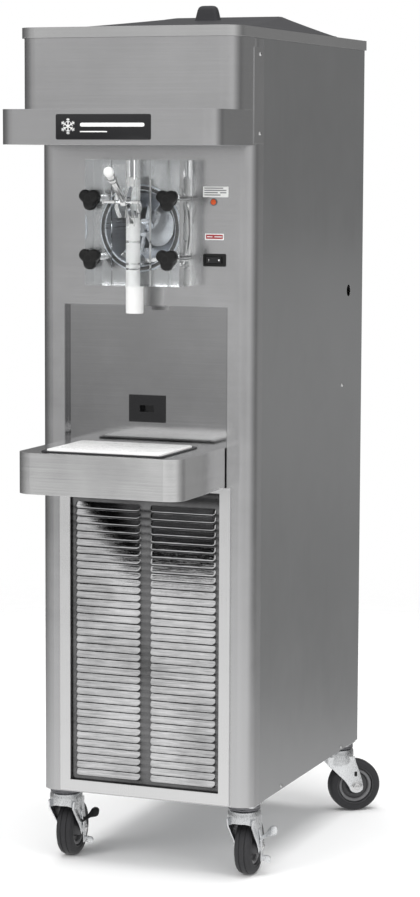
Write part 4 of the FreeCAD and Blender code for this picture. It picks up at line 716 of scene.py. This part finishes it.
def caster_brake(name, place):
    """Side lever on the axle, with an upper pedal and a lower release tab."""
    brake = Shape(place)
    levels = [(37, -13, 8, 0), (33, -12, 12, 0), (24, -8, 13, 0), (12, -3, 14, 0.3), (4, 0, 18, 0.5),
              (-4, 0, 18, 0.5), (-12, -2, 14, 0.3), (-22, -3, 11, 0), (-26, -3, 10, 0)]
    brake.rings([[(24.1 + x + v, TRAIL + y + u, AXLE + z) for u, v in rounded(wide, 2.4, 1.1, 3)(0)]
                 for z, y, wide, x in levels])

    def plate(rows, y, lean, tint):
        rings = []
        for x, z, tall, thick in rows:
            edge = rounded(tall, thick, thick / 2, 3)(0)
            rings.append([(x, TRAIL + y + v + lean * u, AXLE + z + u) for u, v in edge])
        brake.rings(rings, tint)
    plate([(23.5, 17, 9, 2.6), (29, 20, 8, 2.6), (34, 24, 8.5, 2.6), (38, 28, 12, 2.8), (41, 31.5, 15.5, 3.4),
           (46, 33.5, 17, 3.8), (51, 34, 16, 3.4), (54.5, 34, 12, 2.8), (55.6, 34, 7, 2)], -11, 0.5, 1)
    plate([(23.5, -20, 9, 2.6), (30, -20.5, 10, 2.8), (36, -22, 12, 3), (40, -22.5, 9, 2.6),
           (41, -22.5, 5, 2)], -2, 0.6, 0)
    brake.lathe([(25, 6.4), (26.4, 6.4), (26.4, 5.1)], (0, TRAIL, AXLE), (1, 0, 0), steps=32,
                caps=(True, False))
    brake.done("brake_" + name, [zinc, black if name == "front_left" else zinc], "caster_brake_" + name,
               "zinc", "caster_brake_" + name, angle=40)


# ---------------------------------------------------------------- finishes of the CAD nodes
FINISH = {
    front_steel: ("front_panel", "top_hood", "header_band"),
    lit_rim_steel: ("top_rim",),
    shelf_steel: ("drip_shelf",),
    side_steel: ("left_side_panel", "right_side_panel", "back_panel"),
    splash_steel: ("splash_panel",),
    trim_steel: ("louvre_frame",),
    lit_inner_steel: ("hopper", "feed_tube", "auger_shaft"),
    barrel_steel: ("freezing_cylinder",),
    galvanised: ("base_frame", "control_box", "fan_motor"),
    polished: ("door_studs",),
    coil: ("condenser",),
    copper: ("refrigerant_line",),
    motor_paint: ("gearbox", "drive_motor", "compressor"),
    black: ("power_inlet", "fan_blades"),
    gloss_black: ("drip_drawer",),
    seal: ("door_gasket",),
    foam: ("cylinder_insulation",),
    acrylic: ("front_door",),
}


def finish_nodes():
    """Paint the CAD nodes that stay visible, paint shade inside the drip shelf, and draw the clear door's
    skin in a little.
    """
    for paint, names in FINISH.items():
        for name in names:
            node = nodes[name]
            node.data.materials.clear()
            node.data.materials.append(paint)
    low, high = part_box("drip_shelf")
    # Painted shade: the drip shelf's inner faces are darkened towards grey.
    paint_hollow_shade(shelf_steel, (low + high) / 2)
    door = nodes["front_door"]
    door.modifiers.new("joined", "WELD").merge_threshold = 0.005 * MM
    gap = door.modifiers.new("gap", "DISPLACE")
    gap.strength, gap.mid_level = -0.15 * MM, 0.0


# ---------------------------------------------------------------- studio
# Brightness of the room round the machine: one row per height of a direction's Z, over ANGLES from the front.
ANGLES = (-180, -145, -121, -97, -73, -49, -27, -19, 3, 27, 51, 63, 75, 88, 100, 112, 124, 136, 148, 160, 180)
UPPER = (.2, .16, .13, .2, .28, .46, .54, .6, .58, .6, .64, .62, .49, .38, .3, .22, .2, .23, .23, .23, .22)
ROOM = (
    (0.45, (0.25,) * 4 + (1.0,) * 9 + (0.6, 0.35) + (0.25,) * 6),
    (0.12, UPPER),
    (-0.03, UPPER),
    (-0.045, UPPER[:6] + (.46,) + UPPER[7:17] + (.28, .31, .31, .28)),
    (-0.11, (.2, .14, .11, .12, .16, .18, .22, .5, .3, .26, .44, .5,
             .44, .38, .3, .24, .22, .26, .3, .31, .28)),
    (-0.155, (.2, .16, .12, .14, .2, .25, .3, .64, .68, .58, .54, .47,
              .3, .17, .13, .12, .12, .19, .26, .27, .24)),
    (-0.18, (.25, .25, .25, .28, .34, .36, .42, .82, .82, .68, .62, .53,
             .4, .23, .16, .15, .14, .18, .26, .27, .24)),
    (-0.206, (.3, .34, .34, .36, .46, .52, .64, .93, .95, .92, .82, .72,
              .62, .43, .37, .36, .36, .34, .31, .3, .3)),
    (-0.229, (.5, .62, .64, .7, .79, .92, .98, 1, 1, 1, .96, .88, .8, .72, .7, .64, .6, .54, .48, .45, .5)),
    (-0.32, (.8,) + (1.0,) * 16 + (.8, .7, .7, .8)),
)


def studio():
    """Pale floor that fades out, the room's brightness map and three soft lights."""
    floor_mesh = bpy.data.meshes.new("floor")
    span = 12
    corners = [(-span, -span, 0), (span, -span, 0), (span, span, 0), (-span, span, 0)]
    floor_mesh.from_pydata(corners, [], [(0, 1, 2, 3)])
    paint = bpy.data.materials.new("floor_paint")
    paint.use_nodes = True
    tree = paint.node_tree
    skin = tree.nodes["Principled BSDF"]
    skin.inputs["Roughness"].default_value = 0.7
    skin.inputs["Specular IOR Level"].default_value = 0.1
    place = add(tree, "ShaderNodeTexCoord").outputs["Object"]
    mottle = add(tree, "ShaderNodeTexNoise", None, Vector=place, Scale=2.0, Detail=3.0).outputs[0]
    plug(tree, skin.inputs["Base Color"], blend(tree, mottle, (0.92, 0.92, 0.92, 1), (0.94, 0.94, 0.94, 1)))
    skin.inputs["Emission Color"].default_value = (1, 1, 1, 1)
    skin.inputs["Emission Strength"].default_value = 0.02
    reach = add(tree, "ShaderNodeVectorMath", {"operation": "LENGTH"})
    plug(tree, reach.inputs[0], place)
    fade = add(tree, "ShaderNodeMapRange", {"interpolation_type": "SMOOTHSTEP"}, Value=reach.outputs["Value"],
               From_Min=1.3, From_Max=3.2, To_Min=0.0, To_Max=1.0)
    clear = add(tree, "ShaderNodeBsdfTransparent")
    both = mix_shaders(tree, fade.outputs[0], skin.outputs[0], clear.outputs[0])
    plug(tree, tree.nodes["Material Output"].inputs["Surface"], both)
    floor_mesh.materials.append(paint)
    floor = bpy.data.objects.new("floor", floor_mesh)
    bpy.context.scene.collection.objects.link(floor)
    floor.visible_glossy = False

    world = bpy.data.worlds.new("studio")
    bpy.context.scene.world = world
    world.use_nodes = True
    tree = world.node_tree
    tree.nodes.clear()
    way = add(tree, "ShaderNodeTexCoord").outputs["Generated"]
    parts = add(tree, "ShaderNodeSeparateXYZ", None, Vector=way)
    forward = maths(tree, "ShaderNodeMath", "MULTIPLY", parts.outputs[1], -1)
    round_about = maths(tree, "ShaderNodeMath", "ARCTAN2", parts.outputs[0], forward.outputs[0])
    turned = spread(tree, round_about.outputs[0], -math.pi, math.pi, 0.0, 1.0)
    sky, below = None, None
    for height, row in ROOM:
        ramp = add(tree, "ShaderNodeValToRGB", None, Fac=turned)
        points = ramp.color_ramp.elements
        for degrees in ANGLES[1:-1]:
            points.new((degrees + 180) / 360)
        for point, degrees, value in zip(points, ANGLES, row):
            point.position = (degrees + 180) / 360
            point.color = (value, value, value, 1)
        if sky is None:
            sky = ramp.outputs[0]
        else:
            sky = blend(tree, spread(tree, parts.outputs[2], below, height, 0.0, 1.0), sky, ramp.outputs[0])
        below = height
    lit = add(tree, "ShaderNodeBackground", None, Color=sky, Strength=1.0)
    plain = add(tree, "ShaderNodeBackground", None, Color=(1, 1, 1, 1), Strength=1.0)
    path = add(tree, "ShaderNodeLightPath")
    out = tree.nodes.new("ShaderNodeOutputWorld")
    plug(tree, out.inputs[0], mix_shaders(tree, path.outputs["Is Camera Ray"], lit.outputs[0],
                                          plain.outputs[0]))

    for name, where, aim, size, watts in (
            ("overhead", (0.2, 0.0, 3.4), (0, 0, 0), 3.2, 130),
            ("key", (-1.6, -3.4, 2.6), (0, 0, 0.8), 1.6, 55),
            ("fill", (3.2, -1.4, 2.0), (0, 0, 0.8), 1.8, 25)):
        data = bpy.data.lights.new(name, "AREA")
        data.energy, data.size = watts, size
        lamp = bpy.data.objects.new(name, data)
        lamp.location = where
        lamp.rotation_mode = "QUATERNION"
        lamp.rotation_quaternion = (Vector(aim) - Vector(where)).to_track_quat("-Z", "Y")
        lamp.visible_glossy = False
        bpy.context.scene.collection.objects.link(lamp)
    bpy.context.scene.view_settings.view_transform = "Standard"


def camera():
    """Three-quarter view from the front right, fitted to the photograph's straight edges."""
    turn, dip, roll = (math.radians(a) for a in (21.4067, 6.4641, 0.2444))
    ahead = Vector((-math.sin(turn) * math.cos(dip), math.cos(turn) * math.cos(dip), -math.sin(dip)))
    right = Vector((math.cos(turn), math.sin(turn), 0))
    up = right.cross(ahead)
    x = right * math.cos(roll) + up * math.sin(roll)
    y = up * math.cos(roll) - right * math.sin(roll)
    data = bpy.data.cameras.new("camera")
    data.sensor_fit, data.sensor_width = "AUTO", 36
    data.lens = 104.888
    data.clip_start, data.clip_end = 0.1, 60
    eye = bpy.data.objects.new("camera", data)
    spot = (1.776806, FRONT - 4.217395, 1.287101)
    eye.matrix_world = Matrix.Translation(spot) @ Matrix((x, y, -ahead)).transposed().to_4x4()
    bpy.context.scene.collection.objects.link(eye)
    bpy.context.scene.camera = eye


louvres()
name_plate()
labels()
controls()
screws()
hopper_cover()
draw_parts()
knobs()
dasher()
drip_parts()
casters()
finish_nodes()
studio()
camera()
